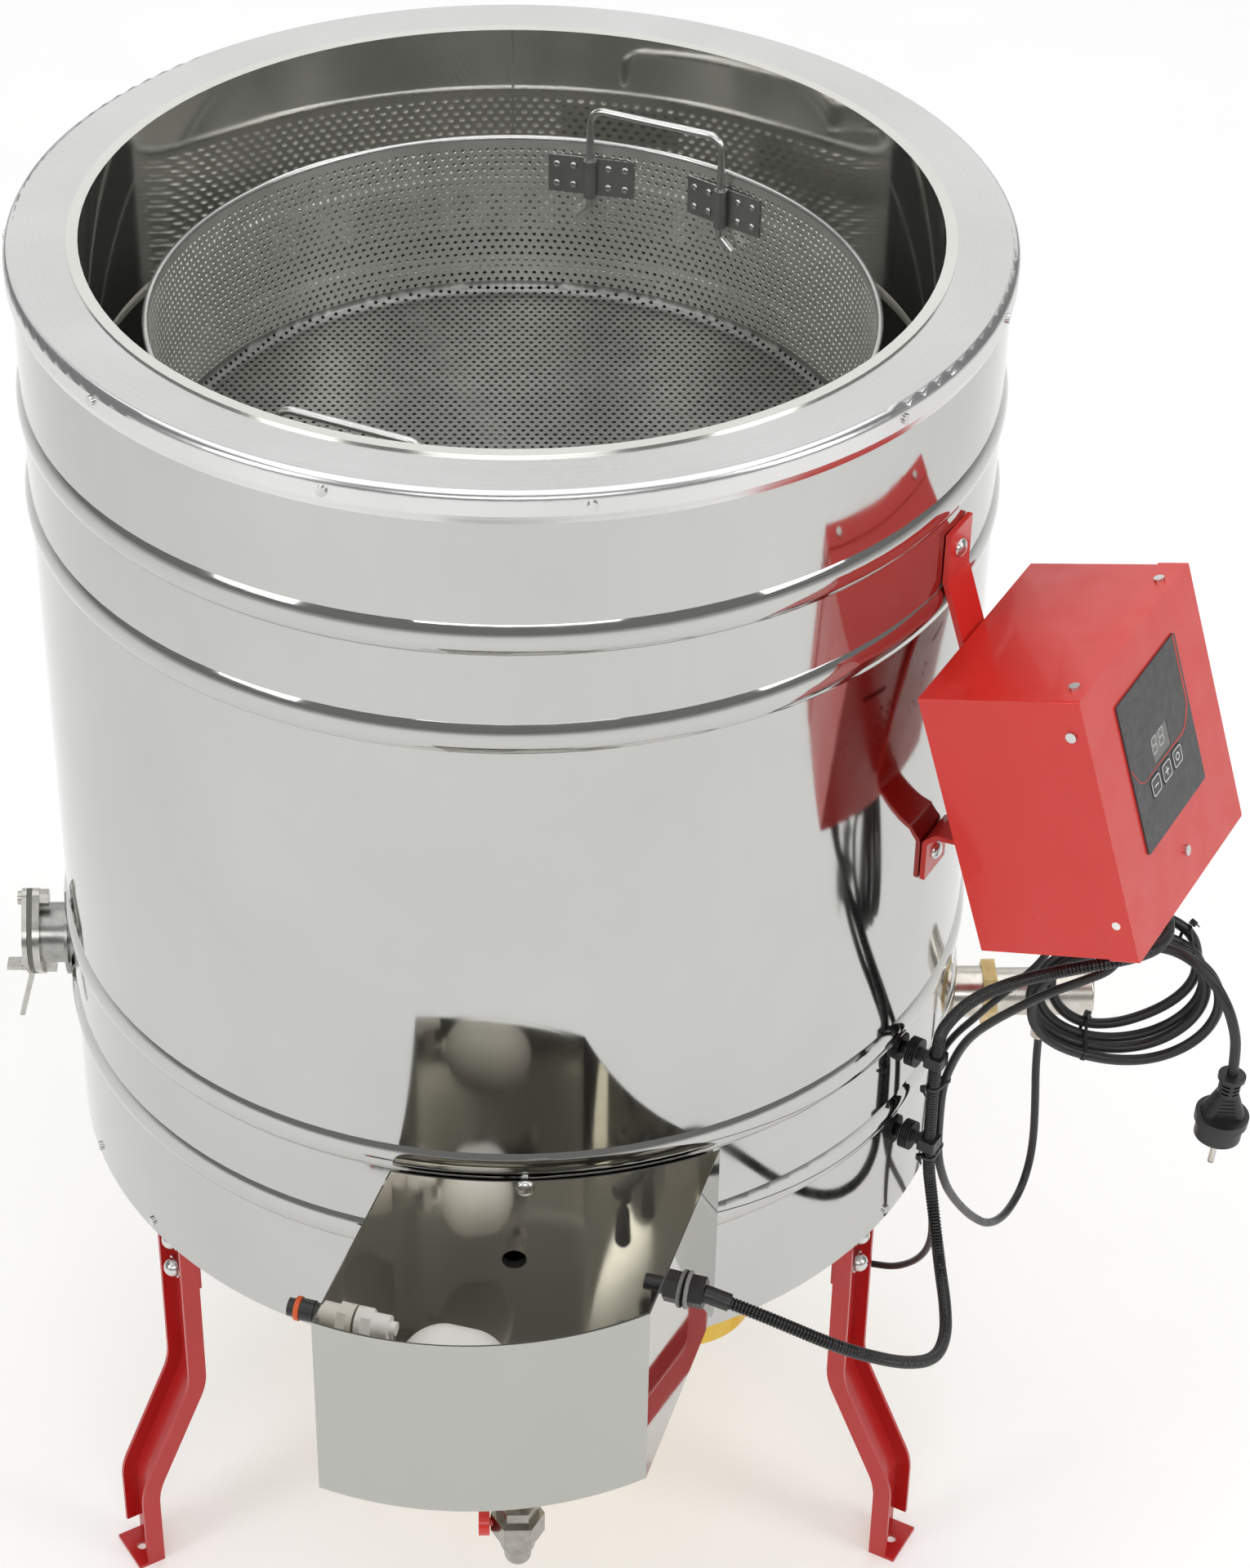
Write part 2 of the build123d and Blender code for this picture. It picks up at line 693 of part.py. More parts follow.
# Float valve: body inside the tank's left wall with a fork under it, hose connector outside the wall
tank_back_dir = Vector(0.291, 0.957, 0)
float_pivot = float_wall_point + tank_side_dir * 22 - Vector(0, 0, 24)
with BuildPart() as float_valve_body:
    disc(along(float_wall_point - tank_side_dir * 12, tank_side_dir), 6, 30)
    disc(along(float_wall_point + tank_side_dir * 1.8, tank_side_dir), 11.2, 4.7)
    hexagon(along(float_wall_point + tank_side_dir * 6.5, tank_side_dir), 20, 7)
    disc(along(float_wall_point + tank_side_dir * 13.5, tank_side_dir), 8.7, 12.5)
    disc(along(float_wall_point + tank_side_dir * 26, tank_side_dir), 5, 5)
    for side in (1, -1):
        cheek_foot = float_pivot + tank_back_dir * side * 4.6 - Vector(0, 0, 4)
        slab(Plane(origin=cheek_foot, x_dir=tank_side_dir, z_dir=(0, 0, 1)), 8, 2, 24)
    disc(along(float_pivot - tank_back_dir * 8, tank_back_dir), 1.56, 16, Mode.SUBTRACT)
save(float_valve_body.part, "float_valve_body")

with BuildPart() as hose_connector:
    hexagon(along(float_wall_point - tank_side_dir * 0.6, tank_side_dir * -1), 17, 8)
    disc(along(float_wall_point - tank_side_dir * 8.6, tank_side_dir * -1), 7, 21.4)
    disc(along(float_wall_point - tank_side_dir * 30, tank_side_dir * -1), 8, 14.5)
    disc(along(float_wall_point - tank_side_dir * 44.5, tank_side_dir * -1), 6.6, 5)
    disc(along(float_wall_point, tank_side_dir * -1), 6.2, 14, Mode.SUBTRACT)
    disc(along(float_wall_point, tank_side_dir * -1), 4, 60, Mode.SUBTRACT)
save(hose_connector.part, "hose_connector")

# Float: barrel with a collar and a short neck that pivots in the valve's fork
float_centre = float_wall_point + tank_side_dir * 76 - tank_back_dir * 4 - Vector(0, 0, 23)
float_half = 39.5
with BuildPart() as float_lever:
    disc(along(float_pivot - tank_back_dir * 3.2, tank_back_dir), 3.2, 6.4)
    disc(along(float_pivot - tank_back_dir * 5.6, tank_back_dir), 1.5, 11.2)
    disc(along(float_pivot, float_centre - float_pivot), 2.8, 20)
    disc(along(float_centre - tank_side_dir * (float_half + 4), tank_side_dir), 8, 5)
    with BuildSketch(Plane(origin=float_centre, x_dir=tank_side_dir, z_dir=tank_back_dir)):
        with BuildLine():
            Line((-float_half, 0), (float_half, 0))
            ThreePointArc((float_half, 0), (32, 19), (10, 30))
            Line((10, 30), (-12, 30))
            ThreePointArc((-12, 30), (-29, 23), (-float_half, 10))
            Line((-float_half, 10), (-float_half, 0))
        make_face()
    revolve(axis=Axis(float_centre, tank_side_dir))
save(float_lever.part, "float_lever")

# Level switch: stem, washer and nut through the tank's right wall, the lead's boot,
# and a fork under the stem for its float
switch_pivot = switch_wall_point - tank_side_dir * 20 - Vector(0, 0, 10.5)
switch_boot_end = Vector(151.2, -406.7, 504.1)
switch_boot_start = switch_wall_point + tank_side_dir * 13
with BuildPart() as level_switch_body:
    disc(along(switch_wall_point - tank_side_dir * 30, tank_side_dir), 6, 44)
    disc(along(switch_wall_point + tank_side_dir * 0.6, tank_side_dir), 13.2, 2.8)
    hexagon(along(switch_wall_point + tank_side_dir * 3.4, tank_side_dir), 21, 11)
    boot_dir = switch_boot_end - switch_boot_start
    disc(along(switch_boot_start, boot_dir), 6.6, boot_dir.length)
    for side in (1, -1):
        cheek_foot = switch_pivot + tank_back_dir * side * 4.6 - Vector(0, 0, 4)
        slab(Plane(origin=cheek_foot, x_dir=tank_side_dir, z_dir=(0, 0, 1)), 8, 2, 12.5)
    disc(along(switch_pivot - tank_back_dir * 8, tank_back_dir), 1.56, 16, Mode.SUBTRACT)
save(level_switch_body.part, "level_switch_body")

with BuildPart() as level_switch_float:
    disc(along(switch_pivot - tank_back_dir * 3.2, tank_back_dir), 3.2, 6.4)
    disc(along(switch_pivot - tank_back_dir * 5.6, tank_back_dir), 1.5, 11.2)
    with BuildSketch(Plane(origin=switch_pivot, x_dir=tank_side_dir, z_dir=tank_back_dir)):
        with BuildLine():
            Polyline((0, 0), (2.5, 0), (2.5, 6.5), (6, 14), (8, 42), (6, 45), (0, 45), close=True)
        make_face()
    revolve(axis=Axis(switch_pivot, (0, 0, 1)))
save(level_switch_float.part, "level_switch_float")

# Drain: nipple under the tank, small ball valve, hose tail
ball_height = 343
with BuildPart() as drain_valve_body:
    disc(level(ball_height, drain_x, drain_y), 8.8, tank_low + 8 - ball_height)
    hexagon(level(tank_low - 8, drain_x, drain_y), 27, 8)
    hexagon(level(tank_low + tank_sheet, drain_x, drain_y), 24, 5)
    hexagon(level(352, drain_x, drain_y), 27, 12)
    hexagon(level(334, drain_x, drain_y), 34, 18)
    disc(level(321, drain_x, drain_y), 12.5, 13)
    with BuildSketch(Plane.XZ.offset(-drain_y)):
        with BuildLine():
            Polyline((0, 321), (10, 321), (10, 311))
            ThreePointArc((10, 311), (7.4, 305), (0, 302))
            Line((0, 302), (0, 321))
        make_face()
    revolve(axis=Axis((drain_x, drain_y, 0), (0, 0, 1)))
    disc(level(300, drain_x, drain_y), 5, 120, Mode.SUBTRACT)
    with BuildSketch(Plane.XZ.offset(-drain_y)):
        with Locations((0, ball_height)):
            Circle(8.3)
            Rectangle(20, 20, align=(Align.MAX, Align.CENTER), mode=Mode.SUBTRACT)
    revolve(axis=Axis((drain_x, drain_y, 0), (0, 0, 1)), mode=Mode.SUBTRACT)
    disc(Plane(origin=(drain_x, drain_y, ball_height), z_dir=(-1, 0, 0)), 3.06, 30, Mode.SUBTRACT)
save(drain_valve_body.part, "drain_valve_body")

with BuildPart() as drain_lever:
    with BuildSketch(Plane.XZ.offset(-drain_y)):
        with Locations((0, ball_height)):
            Circle(8)
            Rectangle(20, 20, align=(Align.MAX, Align.CENTER), mode=Mode.SUBTRACT)
    revolve(axis=Axis((drain_x, drain_y, 0), (0, 0, 1)))
    disc(Plane(origin=(drain_x, drain_y - 10, ball_height), z_dir=(0, 1, 0)), 5, 20, Mode.SUBTRACT)
    disc(Plane(origin=(drain_x - 6.5, drain_y, ball_height), z_dir=(-1, 0, 0)), 3, 16)
    hub = Plane(origin=(drain_x - 20.2, drain_y, ball_height), x_dir=(0, 1, 0), z_dir=(-1, 0, 0))
    disc(hub, 10, 8)
    with BuildSketch(hub.offset(1)):
        with BuildLine():
            Polyline((0, 9), (10, 5), (32, 8), (38, 5), (38, -5), (32, -8), (10, -5), (0, -9), close=True)
        make_face()
    extrude(amount=5)
save(drain_lever.part, "drain_lever")

# Wax gate: pipe from the drum, flange, gasket and a blade that swings on a pivot bolt
gate_face = 373.5
flange_sheet = 5.5
with BuildPart() as gate_stub:
    ring(wall_plane(180, drum_r - 4, gate_height), gate_pipe_r, gate_bore_r, gate_face - drum_r + 4)
    ring(wall_plane(180, shell_r + bead_rise + 0.3, gate_height), 33, gate_pipe_r, 2.5)
save(gate_stub.part, "gate_stub")


def gate_plate(depth, disc_r):
    """Plan of a gate plate: a round body, a lug for the pivot and a lug for the thumb screw"""
    with BuildSketch(wall_plane(180, depth, gate_height)) as outline:
        Circle(disc_r)
        with Locations((0, gate_pivot_height - gate_height)):
            Circle(7.5)
        with Locations((0, gate_screw_height - gate_height)):
            Circle(8)
        make_hull()
    return outline.sketch


with BuildPart() as gate_flange:
    extrude(gate_plate(gate_face, 31), amount=flange_sheet)
    disc(wall_plane(180, gate_face - 1, gate_height), gate_bore_r, 20, Mode.SUBTRACT)
    hexagon(wall_plane(180, gate_face - 7, gate_pivot_height), 12, 8)
    hexagon(wall_plane(180, gate_face - 8, gate_screw_height), 12, 9)
    disc(wall_plane(180, gate_face + flange_sheet, gate_pivot_height), 3, 9.5)
    disc(wall_plane(180, gate_face + flange_sheet + 8.7, gate_pivot_height), 5.5, 3)
save(gate_flange.part, "gate_flange")

gasket_face = gate_face + flange_sheet
with BuildPart() as gate_gasket:
    extrude(gate_plate(gasket_face, 30), amount=4)
    disc(wall_plane(180, gasket_face - 1, gate_height), gate_bore_r, 20, Mode.SUBTRACT)
    disc(wall_plane(180, gasket_face - 1, gate_pivot_height), 3.05, 20, Mode.SUBTRACT)
save(gate_gasket.part, "gate_gasket")

blade_face = gasket_face + 4.3
lever_bend = 486
lever_end = 434
lever_lean = 11
with BuildPart() as gate_blade:
    extrude(gate_plate(blade_face, 30), amount=4)
    with BuildSketch(section_plane(180)):
        with BuildLine():
            Polyline(
                (blade_face, lever_bend + 8),
                (blade_face, lever_bend - 10),
                (blade_face + lever_lean, lever_end),
                (blade_face + lever_lean + 4, lever_end),
                (blade_face + 4, lever_bend - 10),
                (blade_face + 4, lever_bend + 8),
                close=True,
            )
        make_face()
    extrude(amount=7.5, both=True)
    fillet(edges().group_by(Axis.Z)[0].filter_by(Axis.X), radius=4)
    disc(wall_plane(180, blade_face - 1, gate_pivot_height), 3.06, 20, Mode.SUBTRACT)
    disc(wall_plane(180, blade_face - 1, gate_screw_height), 3.06, 20, Mode.SUBTRACT)
save(gate_blade.part, "gate_blade")

with BuildPart() as gate_screw:
    disc(wall_plane(180, blade_face, gate_screw_height), 3, 8)
    disc(wall_plane(180, blade_face + 4.4, gate_screw_height), 5.5, 5)
    slab(wall_plane(180, blade_face + 9, gate_screw_height), 13, 3, 12)
save(gate_screw.part, "gate_screw")

# Immersion heater: socket on the wall, brass ring, terminal head and the element in the jacket
with BuildPart() as heater_socket:
    ring(wall_plane(0, shell_r + 0.3, heater_height), 30, 21, 2.5)
    ring(wall_plane(0, shell_r - 6, heater_height), 21, 15, 375 - shell_r + 6)
save(heater_socket.part, "heater_socket")

with BuildPart() as heater_ring:
    hexagon(wall_plane(0, 375, heater_height), 46, 11)
    disc(wall_plane(0, 374, heater_height), 14, 20, Mode.SUBTRACT)
save(heater_ring.part, "heater_ring")

heater_gland_x = 426
heater_gland_low = 404
with BuildPart() as heater_head:
    disc(wall_plane(0, 386, heater_height), 19.5, 79)
    fillet(edges().group_by(Axis.X)[-1], radius=2)
    disc(wall_plane(0, 360, heater_height), 13.8, 26)
    hexagon(level(heater_height - 27, heater_gland_x, 0), 18, 12)
    disc(level(heater_gland_low, heater_gland_x, 0), 7, 20)
save(heater_head.part, "heater_head")

with BuildPart() as heater_element:
    with BuildLine() as element_line:
        FilletPolyline(
            (360, 8, heater_height),
            (110, 8, heater_height),
            (110, 60, heater_height),
            (330, 60, heater_height),
            radius=24,
        )
    with BuildSketch(Plane(origin=element_line.line @ 0, z_dir=element_line.line % 0)):
        Circle(5)
    sweep(path=element_line.line)
save(heater_element.part, "heater_element")

# Control box frame: origin at the middle of the back's top edge, X along the drum's wall,
# Y up the back and Z out through the front
box_out = outward(box_azimuth)
box_front = box_out * cos(radians(box_tilt)) + Vector(0, 0, sin(radians(box_tilt)))
box_up = Vector(0, 0, cos(radians(box_tilt))) - box_out * sin(radians(box_tilt))
box_side = sideways(box_azimuth)
box_origin = box_out * box_back_r + Vector(0, 0, box_top)


def box_point(x, y, z):
    """Point in the control box's own frame"""
    return box_origin + box_side * x + box_up * y + box_front * z


def box_plane(x, y, z):
    """Plane parallel to the box's front"""
    return Plane(origin=box_point(x, y, z), x_dir=box_side, z_dir=box_front)


def box_face_plane(x, y, z, normal):
    """Plane on the box that faces a given way"""
    return Plane(origin=box_point(x, y, z), z_dir=normal)


case_depth = box_depth - 8
lip_depth = 22
mid_y = -box_height / 2
gland_places = {"conduit": (62, 58), "mains": (45, 20), "heater": (-25, 70), "motor": (-26, 14.5)}
gland_dir = box_up * -1
with BuildPart() as box_rear_case:
    slab(box_plane(0, mid_y, 0), box_width - 2, box_height - 2, case_depth)
    slab(
        box_plane(0, mid_y, box_sheet),
        box_width - 2 - 2 * box_sheet,
        box_height - 2 - 2 * box_sheet,
        box_depth,
        Mode.SUBTRACT,
    )
    with BuildSketch(box_plane(0, mid_y, -1)):
        with GridLocations(11, 11, 8, 5):
            Circle(2.2)
        for side in (1, -1):
            with Locations((side * 55, 45)):
                SlotOverall(30, 6)
    extrude(amount=5, mode=Mode.SUBTRACT)
    for gland_x, gland_z in gland_places.values():
        disc(box_face_plane(gland_x, -box_height - 3, gland_z, box_up), 5, 8, Mode.SUBTRACT)
save(box_rear_case.part, "box_rear_case")

with BuildPart() as box_front_cover:
    slab(box_plane(0, mid_y, box_depth - lip_depth), box_width + 0.8, box_height + 0.8, lip_depth)
    fillet(edges().filter_by(lambda e: abs(abs(e.tangent_at(0).dot(box_front)) - 1) < 0.01), radius=2)
    slab(
        box_plane(0, mid_y, box_depth - lip_depth - 1),
        box_width - 1.6,
        box_height - 1.6,
        lip_depth - box_sheet + 1,
        Mode.SUBTRACT,
    )
    with BuildSketch(box_plane(0, -key_drop, box_depth - 5)):
        for offset_x in key_offsets.values():
            with Locations((offset_x, 0)):
                RectangleRounded(key_size + 1, key_size + 1, 3)
        with Locations((window_x, key_drop - window_drop)):
            Rectangle(28, 20)
    extrude(amount=10, mode=Mode.SUBTRACT)
save(box_front_cover.part, "box_front_cover")

# Pan-head screws: round the rim's skirt, round the foot of the shell and on the box's cover
screw_inset = box_depth - 11
with BuildPart() as pan_screws:
    for azimuth in rim_screw_azimuths:
        disc(wall_plane(azimuth, 343, rim_screw_height), 1.6, rim_r - 343)
        disc(wall_plane(azimuth, rim_r, rim_screw_height), 3.6, 1.8)
    for azimuth in bottom_screw_azimuths:
        disc(wall_plane(azimuth, 342, bottom_screw_height), 1.6, shell_r - 342)
        disc(wall_plane(azimuth, shell_r, bottom_screw_height), 3.6, 1.8)
    half_w = box_width / 2 + 0.4
    for screw_x in (-78, 70):
        disc(box_face_plane(screw_x, 0.4, screw_inset, box_up), 3.8, 2.2)
    for screw_y in (-26, -176):
        disc(box_face_plane(half_w, screw_y, screw_inset, box_side), 3.8, 2.2)
    disc(box_face_plane(-half_w, -26, screw_inset, box_side * -1), 3.8, 2.2)
    disc(box_plane(3, -177, box_depth), 3.8, 2.2)
save(pan_screws.part, "pan_screws")

keypad_height = 1.4
with BuildPart() as keypad:
    with BuildSketch(box_plane(0, -88.5, box_depth)):
        RectangleRounded(103, 117, 2)
    extrude(amount=keypad_height)
    with BuildSketch(box_plane(0, -key_drop, box_depth - 1)):
        for offset_x in key_offsets.values():
            with Locations((offset_x, 0)):
                RectangleRounded(key_size + 0.8, key_size + 0.8, 3)
        with Locations((window_x, key_drop - window_drop)):
            Rectangle(28, 20)
    extrude(amount=10, mode=Mode.SUBTRACT)
save(keypad.part, "keypad")

for key_name, offset_x in key_offsets.items():
    with BuildPart() as key:
        with BuildSketch(box_plane(offset_x, -key_drop, box_depth - 2)):
            RectangleRounded(key_size, key_size, 2.6)
        extrude(amount=keypad_height + 2.5)
    save(key.part, key_name)

# Circuit board: carried on four pillars behind the front panel
with BuildPart() as control_board:
    slab(box_plane(0, -88.5, 98), 96, 110, 1.6)
    with BuildSketch(box_plane(0, -88.5, 99.6)):
        with GridLocations(84, 98, 2, 2):
            Circle(3)
    extrude(amount=box_depth - box_sheet - 99.6)
    slab(box_plane(1.5, -88.4, 99.6), 26, 18, 18)
    slab(box_plane(-20, -60, 80), 40, 30, 18)
    disc(box_plane(25, -60, 70), 11, 28)
save(control_board.part, "control_board")

# Cable glands on the underside
with BuildPart() as cable_glands:
    for gland_x, gland_z in gland_places.values():
        seat = box_face_plane(gland_x, -box_height + 1, gland_z, gland_dir)
        hexagon(seat, 16, 7)
        disc(seat.offset(7), 7.5, gland_length - 7)
        disc(seat.offset(-5), 4.8, 5)
save(cable_glands.part, "cable_glands")

# Strap that carries the box: wall tab, run down the back of the box, return to a second wall tab
with BuildPart() as box_bracket:
    tab_r = shell_r + 0.2 + strap_sheet / 2
    lean = tan(radians(box_tilt))
    back_shift = strap_sheet / 2 / cos(radians(box_tilt))
    with BuildSketch(section_plane(box_azimuth)):
        with BuildLine():
            FilletPolyline(
                (tab_r, 1012),
                (tab_r, 974),
                (box_back_r - back_shift + 170 * lean, box_top - 170),
                (tab_r + 9, 757),
                (tab_r, 749),
                (tab_r, 716),
                radius=(6, 10, 4, 4),
            )
        trace(line_width=strap_sheet)
    extrude(amount=strap_width / 2, both=True)
    for bolt_height in strap_bolt_heights:
        disc(wall_plane(box_azimuth, shell_r - 2, bolt_height), 4.3, 12, Mode.SUBTRACT)
save(box_bracket.part, "box_bracket")

# Pipe clips: ribbed studs on the wall with a square collar round the conduit
clip_azimuth = -32.4
clip_r = 372
clip_heights = (551, 468)
clip_ribs = 5
clip_rib_r = 11.5
collar_height = 10
collar_width = 2 * conduit_crest_r + 5
with BuildPart() as pipe_clips:
    for height in clip_heights:
        disc(wall_plane(clip_azimuth, shell_r, height), 5, clip_r - shell_r - 7)
        for rib in range(clip_ribs):
            disc(wall_plane(clip_azimuth, shell_r + 3 + 1.8 * rib, height), clip_rib_r, 0.9)
        collar_at = outward(clip_azimuth) * clip_r + Vector(0, 0, height - collar_height / 2)
        with BuildSketch(Plane(origin=collar_at, x_dir=outward(clip_azimuth), z_dir=(0, 0, 1))):
            RectangleRounded(collar_width, collar_width, 2)
            Circle(conduit_crest_r + 0.5, mode=Mode.SUBTRACT)
        extrude(amount=collar_height)
save(pipe_clips.part, "pipe_clips")


def gland_exit(name):
    """Point where a lead leaves its gland"""
    gland_x, gland_z = gland_places[name]
    return box_point(gland_x, -box_height + 1 - gland_length, gland_z)


def bend_radii(points):
    """Largest arcs that a route's runs allow"""
    radii = []
    for before, here, after in zip(points, points[1:], points[2:]):
        turn = (here - before).get_angle(after - here)
        shorter = min((here - before).length, (after - here).length)
        radii.append(0.45 * shorter / tan(radians(turn) / 2))
    return radii


def lead_line(name, points):
    """Route of a lead: straight runs joined by tangent arcs"""
    points = [Vector(*point) for point in points]
    radii = bend_radii(points)
    print(name, "bend radii", [round(radius) for radius in radii])
    with BuildLine():
        route = FilletPolyline(*points, radius=radii)
    return route


def lead_tube(name, line, radius):
    """Plain round lead along a route"""
    with BuildSketch(Plane(origin=line @ 0, z_dir=line % 0)) as section:
        Circle(radius)
    sweep(section.sketch, path=line)
    print(name, "length", round(line.length), "section times length", round(pi * radius**2 * line.length))


# Ribbed conduit: from the box through both clips, down and back up to the level switch
conduit_points = [
    gland_exit("conduit"),
    gland_exit("conduit") + gland_dir * 30,
    (471, -232, 705),
    (457, -268, 715),
    (428, -300, 731),
    (386, -296, 718),
    (357, -267, 684),
    (332, -231, 637),
    (317.5, -207.5, 592),
    (314.1, -199.3, 567),
    (314.1, -199.3, 452),
    (319, -204, 418),
    (322.3, -220, 395),
    (323.7, -250, 383),
    (324, -290, 383.5),
    (320.6, -327.3, 388.2),
    (308.1, -364.7, 402.4),
    (283.1, -391, 425.5),
    (254.1, -409.3, 451.7),
    (227.3, -416.2, 469.6),
    switch_boot_end + boot_dir.normalized() * 26,
    switch_boot_end,
]
conduit_line = lead_line("conduit", conduit_points)
rib_steps = (
    (0, conduit_valley_r),
    (0.25, conduit_crest_r),
    (0.6, conduit_crest_r),
    (0.85, conduit_valley_r),
)
steady_x = Vector(0.58, 0.50, 0.64)
with BuildPart() as conduit:
    for first in range(0, conduit_ribs, rib_group):
        circles = []
        for rib in range(first, first + rib_group):
            circles += [(rib + share, radius) for share, radius in rib_steps]
        circles.append((first + rib_group, conduit_valley_r))
        for count, radius in circles:
            place = count / conduit_ribs
            with BuildSketch(Plane(origin=conduit_line @ place, x_dir=steady_x, z_dir=conduit_line % place)):
                Circle(radius)
        loft(ruled=True)
    with BuildSketch(Plane(origin=conduit_line @ 0, z_dir=conduit_line % 0)):
        Circle(conduit_bore_r)
    sweep(path=conduit_line, mode=Mode.SUBTRACT)
print("conduit length", round(conduit_line.length), "volume", round(conduit.part.volume))
save(conduit.part, "conduit")

# Heater lead: beside the conduit, then a hanging loop to the heater's gland
heater_points = [
    gland_exit("heater"),
    gland_exit("heater") + gland_dir * 22,
    (422, -283, 708),
    (402, -285, 699),
    (378, -273, 677),
    (358, -257, 648),
    (343, -235, 615),
    (334.5, -213, 583),
    (329.2, -195.6, 551),
    (322.6, -190.4, 520),
    (321.8, -190.2, 490),
    (323, -188.5, 445),
    (331.5, -177.7, 408),
    (340.2, -160.5, 378),
    (352.4, -138.4, 344),
    (365.9, -117, 312),
    (383.6, -90.9, 278),
    (401.6, -61.3, 258),
    (417.8, -31.8, 256),
    (426.6, -15.3, 272),
    (429.5, -8, 298),
    (428.5, -3, 335),
    (heater_gland_x, 0, 374),
    (heater_gland_x, 0, heater_gland_low),
]
heater_line = lead_line("heater_lead", heater_points)
with BuildPart() as heater_lead:
    lead_tube("heater_lead", heater_line, heater_lead_r)
print("heater_lead volume", round(heater_lead.part.volume))
save(heater_lead.part, "heater_lead")

# Motor lead: behind the conduit, then under the drum behind the right leg
motor_side = lead_side.origin + lead_side.z_dir * 14
motor_points = [
    gland_exit("motor"),
    gland_exit("motor") + gland_dir * 18,
    (380, -251, 694),
    (363, -246, 666),
    (346, -231, 632),
    (338, -212, 602),
    (328, -195, 573),
    (319.5, -181.5, 542),
    (317, -179, 500),
    (317.5, -179.5, 450),
    (320, -183, 404),
    (327, -178, 352),
    (323, -163, 312),
    (306, -142, 280),
    (286, -125, 268),
    (258, -116, 266),
    (233, -120, 288),
    motor_side + lead_side.z_dir * 24,
    motor_side,
]
motor_line = lead_line("motor_lead", motor_points)
with BuildPart() as motor_lead:
    lead_tube("motor_lead", motor_line, motor_lead_r)
print("motor_lead volume", round(motor_lead.part.volume))
save(motor_lead.part, "motor_lead")

# Mains lead: loose hanging loops that widen towards the front, one unbroken tube
coil_x = 446
coil_quarters = 15
coil_back = (52, 40, 636, -197)
coil_front = (74, 62, 624, -232)


def coil_state(quarter):
    """Half width, half height, centre height and depth of the loops after some quarter turns"""
    share = quarter / coil_quarters
    return [a + (b - a) * share for a, b in zip(coil_back, coil_front)]


def coil_point(quarter):
    """Point of the coil after some quarter turns, clockwise from its right-hand side"""
    wide, high, centre, depth = coil_state(quarter)
    angle = -quarter * pi / 2
    return Vector(coil_x + wide * cos(angle), depth, centre + high * sin(angle))


def coil_heading(quarter):
    """Direction of travel after some quarter turns"""
    wide, high, _, _ = coil_state(quarter)
    angle = -quarter * pi / 2
    drift = (coil_front[3] - coil_back[3]) / coil_quarters / (wide + high) * 1.27
    return Vector(round(sin(angle)), drift, -round(cos(angle))).normalized()


def biarc(start, start_dir, end, end_dir):
    """Two tangent arcs between two points with given directions"""
    gap = end - start
    both = start_dir + end_dir
    square = 2 * (1 - start_dir.dot(end_dir))
    reach = (sqrt(gap.dot(both) ** 2 + square * gap.dot(gap)) - gap.dot(both)) / square
    first = start + start_dir * reach
    last = end - end_dir * reach
    middle = (first + last) * 0.5
    TangentArc(start, middle, tangent=start_dir)
    TangentArc(middle, end, tangent=last - first)


mains_end_run = 2 * mains_r
with BuildLine() as coil_route:
    Line(coil_point(0) - coil_heading(0) * mains_end_run, coil_point(0))
    for quarter in range(coil_quarters):
        biarc(
            coil_point(quarter), coil_heading(quarter),
            coil_point(quarter + 1), coil_heading(quarter + 1),
        )
    Line(coil_point(coil_quarters), coil_point(coil_quarters) + coil_heading(coil_quarters) * mains_end_run)
coil_line = coil_route.wires()[0]
with BuildPart() as mains_coil:
    lead_tube("mains_coil", coil_line, mains_r)
print("mains_coil volume", round(mains_coil.part.volume))
samples = [coil_line @ (k / 600) for k in range(601)]
spacing = coil_line.length / 600
least = min(
    (one - two).length
    for k, one in enumerate(samples)
    for two in samples[k + int(120 / spacing):]
)
print("mains_coil least gap to itself", round(least - 2 * mains_r, 2))
save(mains_coil.part, "mains_coil")

plug_neck = Vector(522.9, -264, 591.5)
plug_lean = 5
mains_in_points = [
    gland_exit("mains"),
    gland_exit("mains") + gland_dir * 24,
    (434, -187, 687),
    (458, -190, 684),
    (480, -193.5, 681),
    coil_point(0) - coil_heading(0) * (mains_end_run + 22),
    coil_line @ 0,
]
mains_out_points = [
    coil_line @ 1,
    (coil_line @ 1) + (coil_line % 1) * 20,
    (496, -251, 680),
    (512, -261, 657),
    (520.5, -264, 632),
    plug_neck + Vector(0, 0, 20),
    plug_neck,
]
with BuildPart() as mains_cord:
    lead_tube("mains_cord to the coil", lead_line("mains_cord to the coil", mains_in_points), mains_r)
    lead_tube("mains_cord to the plug", lead_line("mains_cord to the plug", mains_out_points), mains_r)
print("mains_cord volume", round(mains_cord.part.volume))
save(mains_cord.part, "mains_cord")

